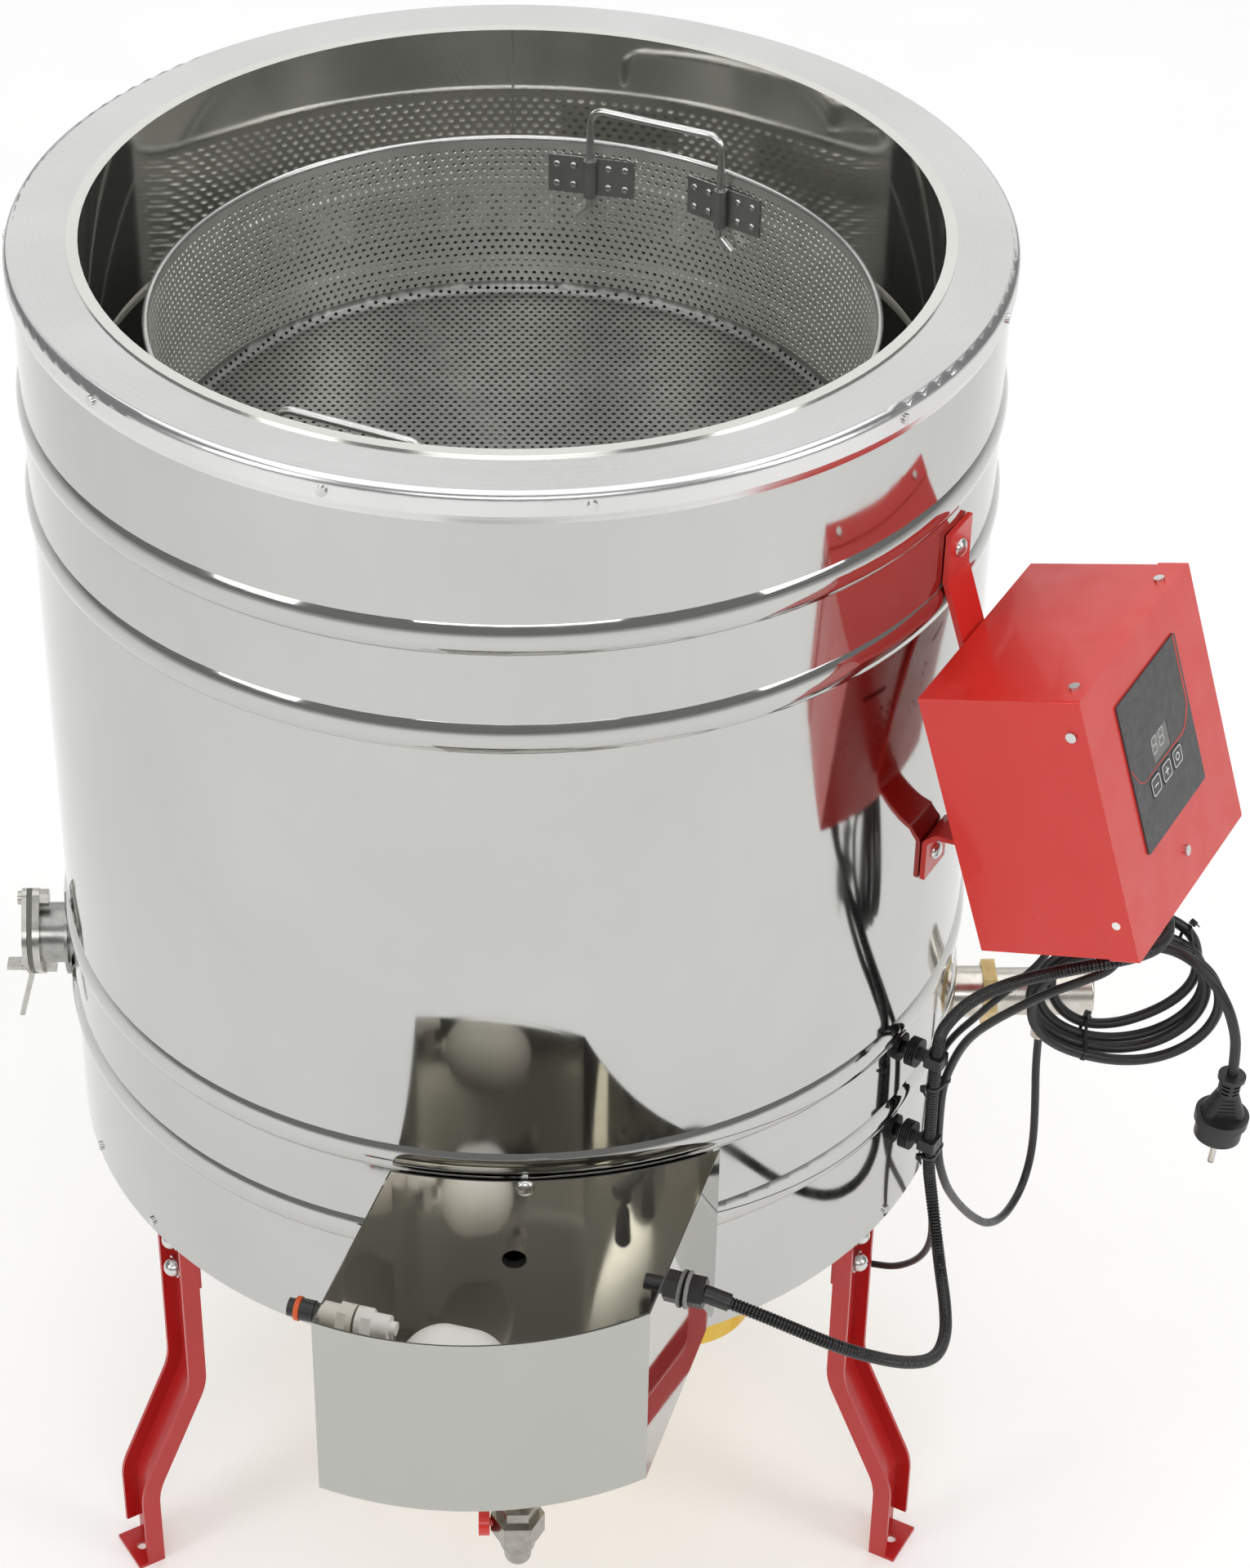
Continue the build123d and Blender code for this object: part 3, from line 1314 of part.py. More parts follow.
# Round two-pin plug that hangs on the end of the mains lead: collar, slotted neck, wedge grip,
# flange and round end
plug_up = Vector(sin(radians(plug_lean)), 0, cos(radians(plug_lean)))
neck_r = 8.2
neck_low = -17
flange_high = -37
flange_low = -44
plug_end = -58
pin_length = 19
with BuildPart() as mains_plug:
    plug_base = Plane(origin=plug_neck, x_dir=(plug_up.Z, 0, -plug_up.X), z_dir=plug_up)
    disc(plug_base.offset(-3.5), 10.3, 3.5)
    disc(plug_base.offset(neck_low), neck_r, -neck_low)
    for slot_high in (-6, -9.5, -13):
        with BuildSketch(plug_base.offset(slot_high)):
            for side in (1, -1):
                with Locations((side * 5.5, -7), (side * 5.5, 7)):
                    Rectangle(8, 5)
        extrude(amount=-1.8, mode=Mode.SUBTRACT)
    with BuildSketch(plug_base.offset(neck_low + 1)):
        RectangleRounded(16, 15, 6.5)
    with BuildSketch(plug_base.offset(flange_high)):
        RectangleRounded(33, 20, 7)
    loft()
    disc(plug_base.offset(flange_low), 20, flange_high - flange_low)
    disc(plug_base.offset(plug_end), 17.5, flange_low - plug_end)
    with BuildSketch(plug_base.offset(plug_end - pin_length)):
        with Locations((-2.5, -9.2), (2.5, 9.2)):
            Circle(2.4)
    extrude(amount=pin_length)
save(mains_plug.part, "mains_plug")
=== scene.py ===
import math

import bmesh
import bpy
from mathutils import Matrix, Vector


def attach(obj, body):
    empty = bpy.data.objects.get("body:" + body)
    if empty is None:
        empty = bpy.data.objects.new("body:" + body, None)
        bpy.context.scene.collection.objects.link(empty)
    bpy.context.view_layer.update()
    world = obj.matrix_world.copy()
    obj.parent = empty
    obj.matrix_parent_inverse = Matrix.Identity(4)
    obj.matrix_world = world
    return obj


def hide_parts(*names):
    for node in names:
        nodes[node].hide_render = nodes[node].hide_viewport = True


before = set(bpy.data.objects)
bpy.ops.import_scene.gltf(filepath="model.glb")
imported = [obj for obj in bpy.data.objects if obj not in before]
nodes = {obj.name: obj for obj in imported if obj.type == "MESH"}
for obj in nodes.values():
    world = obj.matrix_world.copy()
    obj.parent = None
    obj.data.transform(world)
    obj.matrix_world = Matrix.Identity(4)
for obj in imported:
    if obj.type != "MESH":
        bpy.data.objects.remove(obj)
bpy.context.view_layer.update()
scene = bpy.context.scene
UP = Vector((0, 0, 1))

# Camera of the photograph
LENS = 86.34
CAMERA_PLACE = Vector((0, -2.3218, 2.4035))
CAMERA_DROP = 28.36
CAMERA_YAW = -1.69
CAMERA_PITCH = -8.53
CAMERA_ROLL = -0.06
CLIP_END = 50


def turned(vector, axis, degrees):
    """Vector turned about an axis"""
    return Matrix.Rotation(math.radians(degrees), 3, axis) @ vector


def make_camera():
    """Camera at the photograph's place and angle"""
    right = Vector((1, 0, 0))
    forward = turned(Vector((0, 1, 0)), right, -CAMERA_DROP)
    upward = right.cross(forward)
    forward, right = (turned(v, upward, CAMERA_YAW) for v in (forward, right))
    forward, upward = (turned(v, right, CAMERA_PITCH) for v in (forward, upward))
    right, upward = (turned(v, forward, CAMERA_ROLL) for v in (right, upward))
    data = bpy.data.cameras.new("photo_camera")
    data.lens = LENS
    data.clip_end = CLIP_END
    camera = bpy.data.objects.new("photo_camera", data)
    facing = Matrix((right, upward, -forward)).transposed().to_4x4()
    camera.matrix_world = Matrix.Translation(CAMERA_PLACE) @ facing
    scene.collection.objects.link(camera)
    scene.camera = camera


make_camera()

# Studio: white floor, soft boxes overhead, behind, at both sides and in front
FLOOR_SIZE = 30
FLOOR_GLOW = 0.16
WORLD_LIGHT = 0.25


def make_world():
    """Even grey surroundings"""
    world = bpy.data.worlds.new("studio")
    world.use_nodes = True
    background = world.node_tree.nodes["Background"]
    background.inputs["Color"].default_value = (1, 1, 1, 1)
    background.inputs["Strength"].default_value = WORLD_LIGHT
    scene.world = world


def softbox(name, place, aim, size, power):
    """Rectangular soft box that points at a place"""
    data = bpy.data.lights.new(name, "AREA")
    data.shape = "RECTANGLE"
    data.size, data.size_y = size
    data.energy = power
    lamp = bpy.data.objects.new(name, data)
    lamp.location = place
    lamp.rotation_euler = (Vector(aim) - Vector(place)).to_track_quat("-Z", "Y").to_euler()
    scene.collection.objects.link(lamp)


make_world()
softbox("ceiling", place=(0, 0.6, 5.0), aim=(0, 0.6, 0), size=(6.0, 6.0), power=150)
softbox("rear_wall", place=(0, 5.2, 3.0), aim=(0, 0, 1.0), size=(9.0, 4.0), power=84)
softbox("left_box", place=(-3.4, -2.4, 2.8), aim=(0, 0, 0.7), size=(1.5, 2.4), power=40)
softbox("right_box", place=(3.4, -1.8, 2.8), aim=(0, 0, 0.7), size=(1.5, 2.4), power=40)
softbox("front_box", place=(0.05, -4.8, 3.4), aim=(0, 0, 0.4), size=(4.0, 1.4), power=60)
scene.view_settings.view_transform = "Standard"
scene.view_settings.look = "None"


# Materials
class Shader:
    """Node tree of one material, with its shader"""

    def __init__(self, name, colour, metallic, roughness):
        self.material = bpy.data.materials.new(name)
        self.material.use_nodes = True
        self.tree = self.material.node_tree
        self.shader = self.tree.nodes["Principled BSDF"]
        self.set("Base Color", (*colour, 1))
        self.set("Metallic", metallic)
        self.set("Roughness", roughness)
        self.place = self.node("ShaderNodeTexCoord").outputs["Object"]

    def node(self, kind):
        """New node of a kind"""
        return self.tree.nodes.new(kind)

    def link(self, source, target):
        """Wire from an output to an input"""
        self.tree.links.new(source, target)

    def set(self, socket, value):
        """Fixed value of one of the shader's inputs"""
        self.shader.inputs[socket].default_value = value

    def noise(self, scale, stretch=(1, 1, 1), detail=3.0):
        """Noise over the object's own coordinates, drawn out where stretch is small"""
        mapping = self.node("ShaderNodeMapping")
        mapping.inputs["Scale"].default_value = stretch
        self.link(self.place, mapping.inputs["Vector"])
        noise = self.node("ShaderNodeTexNoise")
        noise.inputs["Scale"].default_value = scale
        noise.inputs["Detail"].default_value = detail
        self.link(mapping.outputs["Vector"], noise.inputs["Vector"])
        return noise.outputs["Fac"]

    def rings(self, scale, detail=2.0):
        """Turned rings about the vertical axis"""
        split = self.node("ShaderNodeSeparateXYZ")
        flat = self.node("ShaderNodeCombineXYZ")
        length = self.node("ShaderNodeVectorMath")
        length.operation = "LENGTH"
        noise = self.node("ShaderNodeTexNoise")
        noise.noise_dimensions = "1D"
        noise.inputs["Scale"].default_value = scale
        noise.inputs["Detail"].default_value = detail
        self.link(self.place, split.inputs["Vector"])
        self.link(split.outputs["X"], flat.inputs["X"])
        self.link(split.outputs["Y"], flat.inputs["Y"])
        self.link(flat.outputs["Vector"], length.inputs[0])
        self.link(length.outputs["Value"], noise.inputs["W"])
        return noise.outputs["Fac"]

    def spread(self, source, low=0.0, high=1.0, start=0.3, end=0.7):
        """Value drawn out into a range"""
        spread = self.node("ShaderNodeMapRange")
        spread.inputs["From Min"].default_value = start
        spread.inputs["From Max"].default_value = end
        spread.inputs["To Min"].default_value = low
        spread.inputs["To Max"].default_value = high
        self.link(source, spread.inputs["Value"])
        return spread.outputs["Result"]

    def add(self, first, second):
        """Sum of two values"""
        add = self.node("ShaderNodeMath")
        add.operation = "ADD"
        self.link(first, add.inputs[0])
        self.link(second, add.inputs[1])
        return add.outputs["Value"]

    def tint(self, source, first, second):
        """Colour that drifts between two tones"""
        mix = self.node("ShaderNodeMix")
        mix.data_type = "RGBA"
        mix.inputs["A"].default_value = (*first, 1)
        mix.inputs["B"].default_value = (*second, 1)
        self.link(source, mix.inputs["Factor"])
        self.link(mix.outputs["Result"], self.shader.inputs["Base Color"])

    def rough(self, source):
        """Roughness that follows a value"""
        self.link(source, self.shader.inputs["Roughness"])

    def bump(self, source, strength, distance):
        """Fine relief that follows a value"""
        bump = self.node("ShaderNodeBump")
        bump.inputs["Strength"].default_value = strength
        bump.inputs["Distance"].default_value = distance
        self.link(source, bump.inputs["Height"])
        self.link(bump.outputs["Normal"], self.shader.inputs["Normal"])


ROLLED_GRAIN = (60, 60, 2.2)
STREAK_SHARE = 0.6


def steel(name, bright, dull, low, high, metallic=1.0):
    """Sheet steel: drifting tone, smudged gloss and a fine rolled grain"""
    made = Shader(name, bright, metallic, low)
    blot = made.noise(scale=7.0, detail=4.0)
    streak = made.noise(scale=1.0, stretch=ROLLED_GRAIN, detail=2.0)
    made.tint(made.spread(blot), bright, dull)
    drawn = made.spread(streak, 0.0, (high - low) * STREAK_SHARE)
    made.rough(made.add(made.spread(blot, low, high), drawn))
    return made.material


TANK_MIDDLE = (-0.02, -0.43, 0)
TANK_TONE = (0.56, 0.56, 0.53)
# Painted light: a brighter, warmer tone on the tank's inside faces stands in for light bounced
# about inside the tank; painted shade: a darker tone on its outside faces
TANK_INSIDE_PAINTED_LIGHT = (0.86, 0.835, 0.765)
TANK_OUTSIDE_PAINTED_SHADE = (0.45, 0.45, 0.424)
TANK_METALLIC = 0.93
TANK_ROUGHNESS = 0.06
TANK_SIDE_ROUGHNESS = 0.008
TANK_FRONT_ROUGHNESS = 0.075
TANK_SMUDGE = 0.02
TANK_GRAIN = 0.012


def tank_steel():
    """Sheet steel of the water tank: polished and dulled on its front, with painted light making
    its inside faces brighter and warmer and painted shade making its outside faces darker
    """
    made = Shader("tank_steel", TANK_TONE, TANK_METALLIC, TANK_ROUGHNESS)
    faces = made.node("ShaderNodeNewGeometry")
    away = made.node("ShaderNodeVectorMath")
    away.operation = "SUBTRACT"
    away.inputs[1].default_value = TANK_MIDDLE
    made.link(made.place, away.inputs[0])
    facing = made.node("ShaderNodeVectorMath")
    facing.operation = "DOT_PRODUCT"
    made.link(away.outputs["Vector"], facing.inputs[0])
    made.link(faces.outputs["Normal"], facing.inputs[1])
    # Inside faces take the painted-light tone, outside faces the painted-shade tone
    outside = made.spread(facing.outputs["Value"], start=-0.002, end=0.002)
    made.tint(outside, TANK_INSIDE_PAINTED_LIGHT, TANK_OUTSIDE_PAINTED_SHADE)
    ahead = made.node("ShaderNodeVectorMath")
    ahead.operation = "DOT_PRODUCT"
    ahead.inputs[1].default_value = (0, -1, 0)
    made.link(faces.outputs["Normal"], ahead.inputs[0])
    front = made.spread(
        ahead.outputs["Value"], TANK_SIDE_ROUGHNESS, TANK_FRONT_ROUGHNESS, start=0.6, end=0.8
    )
    smudge = made.spread(made.noise(scale=12.0, detail=4.0), 0.0, TANK_SMUDGE)
    grain = made.spread(made.noise(scale=1.0, stretch=ROLLED_GRAIN, detail=2.0), 0.0, TANK_GRAIN)
    made.rough(made.add(made.add(front, smudge), grain))
    return made.material


TURNED_SCALE = 700
TURNED_GROOVES = 900
TURNED_ROUGHNESS = 0.07


def turned_steel(name, bright, dull, low, high):
    """Steel with rings left by spinning or turning"""
    made = Shader(name, bright, metallic=1.0, roughness=low)
    blot = made.noise(scale=9.0, detail=4.0)
    made.tint(made.spread(blot), bright, dull)
    rings = made.spread(made.rings(TURNED_SCALE), 0.0, TURNED_ROUGHNESS)
    made.rough(made.add(made.spread(blot, low, high), rings))
    made.bump(made.rings(TURNED_GROOVES), strength=0.12, distance=0.0004)
    return made.material


# Scales of plastic's blots and skin, and of gloss, as shares of the material's own scale
BLOT_SCALE = 0.12
GLOSS_SCALE = 0.3
SKIN_SCALE = 4
# Range of roughness, as shares of the material's own
PAINT_GLOSS = (0.8, 1.25)
PLASTIC_GLOSS = (0.82, 1.18)


def metal(name, bright, dull, low, high, scale=120.0, relief=0.1):
    """Small metal fittings: fine mottled gloss with slight wear"""
    made = Shader(name, bright, metallic=1.0, roughness=low)
    fine = made.noise(scale, detail=3.0)
    made.tint(made.spread(fine), bright, dull)
    made.rough(made.spread(made.noise(scale * GLOSS_SCALE), low, high))
    made.bump(fine, relief, distance=0.0003)
    return made.material


def paint(name, colour, deep, roughness, coat):
    """Gloss powder coat with its orange-peel skin"""
    made = Shader(name, colour, metallic=0.0, roughness=roughness)
    made.set("Coat Weight", coat)
    made.set("Coat Roughness", 0.06)
    made.tint(made.spread(made.noise(scale=14.0, detail=5.0)), colour, deep)
    low, high = (roughness * share for share in PAINT_GLOSS)
    made.rough(made.spread(made.noise(scale=35.0), low, high))
    made.bump(made.noise(scale=700.0, detail=1.0), strength=0.02, distance=0.0003)
    return made.material


def plastic(name, colour, worn, roughness, scale=260.0, relief=0.12):
    """Moulded plastic or rubber with a fine skin"""
    made = Shader(name, colour, metallic=0.0, roughness=roughness)
    made.tint(made.spread(made.noise(scale * BLOT_SCALE, detail=4.0)), colour, worn)
    low, high = (roughness * share for share in PLASTIC_GLOSS)
    made.rough(made.spread(made.noise(scale * GLOSS_SCALE), low, high))
    made.bump(made.noise(scale * SKIN_SCALE, detail=1.0), relief, distance=0.0002)
    return made.material


# Finishes: two tones, the roughness or its range and, for paint, its coat
BRUSHED = {"scale": 40.0, "relief": 0.05}
SHELL_STEEL = steel("shell_steel", (0.525, 0.525, 0.509), (0.498, 0.498, 0.48), 0.035, 0.085)
TANK_STEEL = tank_steel()
RIM_STEEL = turned_steel("rim_steel", (0.71, 0.71, 0.705), (0.66, 0.66, 0.65), 0.16, 0.24)
DRUM_STEEL = steel(
    "drum_steel", (0.76, 0.755, 0.715), (0.7, 0.695, 0.65), 0.04, 0.09, metallic=0.95
)
BASKET_STEEL = metal(
    "basket_steel", (0.82, 0.82, 0.785), (0.75, 0.75, 0.715), 0.36, 0.46, **BRUSHED
)
# Painted shade: the basket's floor and spider are the same perforated steel as its wall, made much
# darker to stand in for the shade deep inside the basket
BASKET_FLOOR_SHADED_STEEL = metal(
    "basket_floor_shaded_steel", (0.3, 0.3, 0.287), (0.255, 0.255, 0.243), 0.36, 0.46, **BRUSHED
)
SLEEVE_STEEL = metal("sleeve_steel", (0.42, 0.42, 0.41), (0.36, 0.36, 0.35), 0.3, 0.42, **BRUSHED)
WIRE_STEEL = metal("wire_steel", (0.66, 0.66, 0.65), (0.58, 0.58, 0.565), 0.22, 0.34)
GATE_STEEL = metal("gate_steel", (0.53, 0.525, 0.49), (0.43, 0.425, 0.39), 0.2, 0.34)
PIPE_STEEL = metal("pipe_steel", (0.4, 0.4, 0.38), (0.3, 0.3, 0.285), 0.22, 0.36)
ZINC = metal("zinc", (0.72, 0.72, 0.71), (0.58, 0.58, 0.56), 0.18, 0.34)
NICKEL = metal("nickel", (0.66, 0.63, 0.58), (0.55, 0.52, 0.46), 0.2, 0.34)
DRAIN_NICKEL = metal("drain_nickel", (0.4, 0.385, 0.355), (0.3, 0.285, 0.255), 0.16, 0.3)
BRASS = metal("brass", (0.7, 0.52, 0.24), (0.52, 0.38, 0.17), 0.26, 0.4)
DARK_STEEL = metal("dark_steel", (0.34, 0.34, 0.34), (0.25, 0.25, 0.25), 0.3, 0.45)
RED_PAINT = paint("red_paint", (0.685, 0.021, 0.0135), (0.655, 0.019, 0.012), 0.34, 0.33)
# Painted shade: the legs and their brackets carry a darker copy of the box's red paint
LEG_SHADED_PAINT = paint("leg_shaded_paint", (0.51, 0.012, 0.011), (0.48, 0.011, 0.01), 0.34, 0.25)
YELLOW_PAINT = paint("yellow_paint", (0.83, 0.53, 0.02), (0.76, 0.47, 0.015), 0.35, 0.4)
MOTOR_PAINT = paint("motor_paint", (0.03, 0.03, 0.033), (0.02, 0.02, 0.022), 0.45, 0.1)
BLACK_PLASTIC = plastic("black_plastic", (0.014, 0.014, 0.015), (0.024, 0.024, 0.025), 0.4)
LEAD_BLACK = plastic("lead_black", (0.014, 0.014, 0.0145), (0.022, 0.022, 0.022), 0.4)
CONDUIT_BLACK = plastic("conduit_black", (0.008, 0.008, 0.009), (0.014, 0.014, 0.014), 0.28)
GASKET = plastic("gasket_rubber", (0.12, 0.12, 0.105), (0.16, 0.16, 0.142), 0.6)
WASHER = plastic("grey_washer", (0.27, 0.27, 0.265), (0.33, 0.33, 0.32), 0.5)
WHITE_PLASTIC = plastic("white_plastic", (0.95, 0.95, 0.93), (0.9, 0.89, 0.85), 0.4)
FILM = plastic("keypad_film", (0.055, 0.055, 0.057), (0.062, 0.062, 0.064), 0.42, scale=500.0)
INK = plastic("white_ink", (0.8, 0.8, 0.8), (0.74, 0.74, 0.74), 0.5)
RED_INK = plastic("red_ink", (0.72, 0.06, 0.04), (0.66, 0.05, 0.034), 0.5)
DISPLAY = plastic("display_glass", (0.13, 0.13, 0.127), (0.15, 0.15, 0.146), 0.25)
DIGIT = plastic("display_digit", (0.46, 0.46, 0.45), (0.42, 0.42, 0.41), 0.35)
ORANGE = plastic("orange_ring", (0.78, 0.12, 0.02), (0.7, 0.1, 0.018), 0.42)
BOARD = plastic("board_green", (0.02, 0.12, 0.05), (0.03, 0.15, 0.06), 0.4)
FLOOR = plastic("floor_paper", (0.93, 0.93, 0.925), (0.95, 0.95, 0.945), 0.75, scale=30.0)
floor_shader = FLOOR.node_tree.nodes["Principled BSDF"]
floor_shader.inputs["Emission Color"].default_value = (1, 1, 1, 1)
floor_shader.inputs["Emission Strength"].default_value = FLOOR_GLOW

FINISHES = {
    SHELL_STEEL: "outer_shell",
    RIM_STEEL: "top_rim",
    DRUM_STEEL: "drum_wall drum_floor bottom_plate",
    TANK_STEEL: "water_tank",
    BASKET_STEEL: "basket_wall",
    BASKET_FLOOR_SHADED_STEEL: "basket_floor basket_spider",
    SLEEVE_STEEL: "handle_brackets",
    WIRE_STEEL: "handle_rear handle_front drive_shaft",
    GATE_STEEL: "gate_flange gate_blade gate_screw",
    PIPE_STEEL: "gate_stub",
    ZINC: "frame_bolts pan_screws",
    NICKEL: "heater_head heater_socket heater_element",
    DRAIN_NICKEL: "drain_valve_body",
    BRASS: "heater_ring",
    DARK_STEEL: "bearing_housing shaft_bearings driven_pulley motor_pulley motor_mount",
    RED_PAINT: "drain_lever box_rear_case box_front_cover box_bracket",
    LEG_SHADED_PAINT: "leg_front_left leg_front_right leg_rear leg_brackets",
    YELLOW_PAINT: "belt_guard",
    MOTOR_PAINT: "motor_body",
    BLACK_PLASTIC: (
        "hose_connector level_switch_body level_switch_float cable_glands "
        "pipe_clips mains_plug drive_belt"
    ),
    LEAD_BLACK: "heater_lead motor_lead mains_coil mains_cord",
    CONDUIT_BLACK: "conduit",
    GASKET: "gate_gasket",
    WHITE_PLASTIC: "float_valve_body float_lever",
    FILM: "keypad key_minus key_plus key_power",
    BOARD: "control_board",
}
for finish, names in FINISHES.items():
    for name in names.split():
        nodes[name].data.materials.clear()
        nodes[name].data.materials.append(finish)


# Pieces
SHARP_ANGLE = math.radians(38)
CURVE_STEPS = 10
CURVE_ORDER = 3


def piece(name, data, material, body):
    """New object on a body"""
    made = bpy.data.objects.new(name, data)
    data.materials.append(material)
    scene.collection.objects.link(made)
    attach(made, body)
    return made


def mesh_piece(name, points, faces, material, body, smooth=True):
    """Mesh object from points and faces, with its faces turned outward"""
    mesh = bpy.data.meshes.new(name)
    mesh.from_pydata(points, [], faces)
    shape = bmesh.new()
    shape.from_mesh(mesh)
    bmesh.ops.recalc_face_normals(shape, faces=shape.faces)
    shape.to_mesh(mesh)
    shape.free()
    mesh.polygons.foreach_set("use_smooth", [smooth] * len(mesh.polygons))
    if smooth:
        mesh.set_sharp_from_angle(angle=SHARP_ANGLE)
    return piece(name, mesh, material, body)


def route_curve(name, points):
    """Smooth line with a route's points as its control points"""
    data = bpy.data.curves.new(name, "CURVE")
    data.dimensions = "3D"
    data.resolution_u = CURVE_STEPS
    spline = data.splines.new("NURBS")
    spline.points.add(len(points) - 1)
    for control, place in zip(spline.points, points):
        control.co = (*place, 1)
    spline.order_u = CURVE_ORDER
    spline.use_endpoint_u = True
    return data


def line_length(line):
    """Length along a line of points"""
    return sum((b - a).length for a, b in zip(line, line[1:]))


def line_points(data):
    """Points along a curve without a bevel"""
    bare = bpy.data.objects.new("bare", data)
    mesh = bpy.data.meshes.new_from_object(bare)
    line = [vertex.co.copy() for vertex in mesh.vertices]
    bpy.data.meshes.remove(mesh)
    bpy.data.objects.remove(bare)
    return line


# Frame of the control box: side, up and front
BOX_AZIMUTH = math.radians(-30)
BOX_TILT = math.radians(17.8)
BOX_OUT = Vector((math.cos(BOX_AZIMUTH), math.sin(BOX_AZIMUTH), 0))
BOX_SIDE = Vector((-math.sin(BOX_AZIMUTH), math.cos(BOX_AZIMUTH), 0))
BOX_FRONT = BOX_OUT * math.cos(BOX_TILT) + UP * math.sin(BOX_TILT)
BOX_UP = UP * math.cos(BOX_TILT) - BOX_OUT * math.sin(BOX_TILT)
BOX_REACH = 0.3676
BOX_HEIGHT = 0.9325
BOX_PLACE = BOX_OUT * BOX_REACH + UP * BOX_HEIGHT
GLAND_END = -0.223


def box_point(x, y, z):
    """Place on the control box, from its own side, up and front distances"""
    return BOX_PLACE + BOX_SIDE * x + BOX_UP * y + BOX_FRONT * z


def gland_exit(x, z, run):
    """First two points of a lead: the gland's end and a straight run on"""
    return [box_point(x, GLAND_END, z), box_point(x, GLAND_END - run, z)]


# Leads
HEATER_LEAD_D = 0.0068
MOTOR_LEAD_D = 0.0056
MAINS_D = 0.008
LEAD_STEPS = 5
CONDUIT_D = 0.0098
CONDUIT_VALLEY = 0.8
CONDUIT_SHOULDER = 0.97
CONDUIT_RIBS = 340
CONDUIT_SIDES = 14
STEP_SLACK = 1e-9
COIL_X = 0.446
COIL_QUARTERS = 15
COIL_STEPS = 4
# First and last loop of the coil: half width, half height, height of the middle, depth
COIL_BACK = (0.052, 0.040, 0.636, -0.197)
COIL_FRONT = (0.074, 0.062, 0.624, -0.232)
COIL_EASE = 1.019
# Where the coil is tied: angle, how tightly and over what angle
COIL_TIES = ((-114, 0.72, 40), (49, 0.6, 34))
COIL_STRAY = 0.004
COIL_STRAY_RATE = 0.71
COIL_STRAY_START = 0.9

conduit_route = gland_exit(x=0.062, z=0.058, run=0.030) + [
    (0.471, -0.232, 0.705), (0.457, -0.268, 0.715), (0.428, -0.300, 0.731), (0.386, -0.296, 0.718),
    (0.357, -0.267, 0.684), (0.332, -0.231, 0.637), (0.3175, -0.2075, 0.592),
    (0.3141, -0.1993, 0.567), (0.3141, -0.1993, 0.452), (0.319, -0.204, 0.418),
    (0.3223, -0.220, 0.395), (0.3237, -0.250, 0.383), (0.324, -0.290, 0.3835),
    (0.3206, -0.3273, 0.3882), (0.3081, -0.3647, 0.4024), (0.2831, -0.391, 0.4255),
    (0.2541, -0.4093, 0.4517), (0.2273, -0.4162, 0.4696), (0.1754, -0.4122, 0.4964),
    (0.1512, -0.4067, 0.5041),
]
heater_route = gland_exit(x=-0.025, z=0.070, run=0.022) + [
    (0.422, -0.283, 0.708), (0.402, -0.285, 0.699), (0.378, -0.273, 0.677), (0.358, -0.257, 0.648),
    (0.343, -0.235, 0.615), (0.3345, -0.213, 0.583), (0.3292, -0.1956, 0.551),
    (0.3226, -0.1904, 0.520), (0.3218, -0.1902, 0.490), (0.323, -0.1885, 0.445),
    (0.3315, -0.1777, 0.408), (0.3402, -0.1605, 0.378), (0.3524, -0.1384, 0.344),
    (0.3659, -0.117, 0.312), (0.3836, -0.0909, 0.278), (0.4016, -0.0613, 0.258),
    (0.4178, -0.0318, 0.256), (0.4266, -0.0153, 0.272), (0.4295, -0.008, 0.298),
    (0.4285, -0.003, 0.335), (0.426, 0.000, 0.374), (0.426, 0.000, 0.404),
]
motor_route = gland_exit(x=-0.026, z=0.0145, run=0.018) + [
    (0.380, -0.251, 0.694), (0.363, -0.246, 0.666), (0.346, -0.231, 0.632), (0.338, -0.212, 0.602),
    (0.328, -0.195, 0.573), (0.3195, -0.1815, 0.542), (0.317, -0.179, 0.500),
    (0.3175, -0.1795, 0.450), (0.320, -0.183, 0.404), (0.327, -0.178, 0.352),
    (0.323, -0.163, 0.312), (0.306, -0.142, 0.280), (0.286, -0.125, 0.268), (0.258, -0.116, 0.266),
    (0.233, -0.120, 0.288), (0.2076, -0.1291, 0.318), (0.1837, -0.1315, 0.318),
]


def gathered(angle):
    """How far the loops stand apart at an angle: little at the two ties, fully elsewhere"""
    apart = 1.0
    for tied, tight, half in COIL_TIES:
        off = (math.degrees(angle) - tied + 180) % 360 - 180
        apart -= tight * math.exp(-((off / half) ** 2))
    return apart


def coil_route():
    """Points of the mains lead's loose hanging loops, wound clockwise from their right-hand side"""
    points = []
    middle = [(a + b) / 2 for a, b in zip(COIL_BACK, COIL_FRONT)]
    for step in range(COIL_QUARTERS * COIL_STEPS + 1):
        share = step / (COIL_QUARTERS * COIL_STEPS)
        angle = -step / COIL_STEPS * math.pi / 2
        apart = gathered(angle)
        size = [a + (b - a) * share for a, b in zip(COIL_BACK, COIL_FRONT)]
        wide, high, centre = (m + (s - m) * apart for m, s in zip(middle[:3], size))
        depth = size[3]
        stray = COIL_STRAY * apart * math.sin(angle * COIL_STRAY_RATE + COIL_STRAY_START)
        wide, high = wide * COIL_EASE + stray, high * COIL_EASE + stray
        points.append((COIL_X + wide * math.cos(angle), depth, centre + high * math.sin(angle)))
    return points


mains_route = gland_exit(x=0.045, z=0.020, run=0.024) + [
    (0.434, -0.187, 0.687), (0.458, -0.190, 0.684), (0.480, -0.1935, 0.681), (0.498, -0.196, 0.666),
] + coil_route() + [
    (0.474, -0.2326, 0.686), (0.496, -0.251, 0.680), (0.512, -0.261, 0.657),
    (0.5205, -0.264, 0.632), (0.5229, -0.264, 0.6115), (0.5229, -0.264, 0.5915),
]


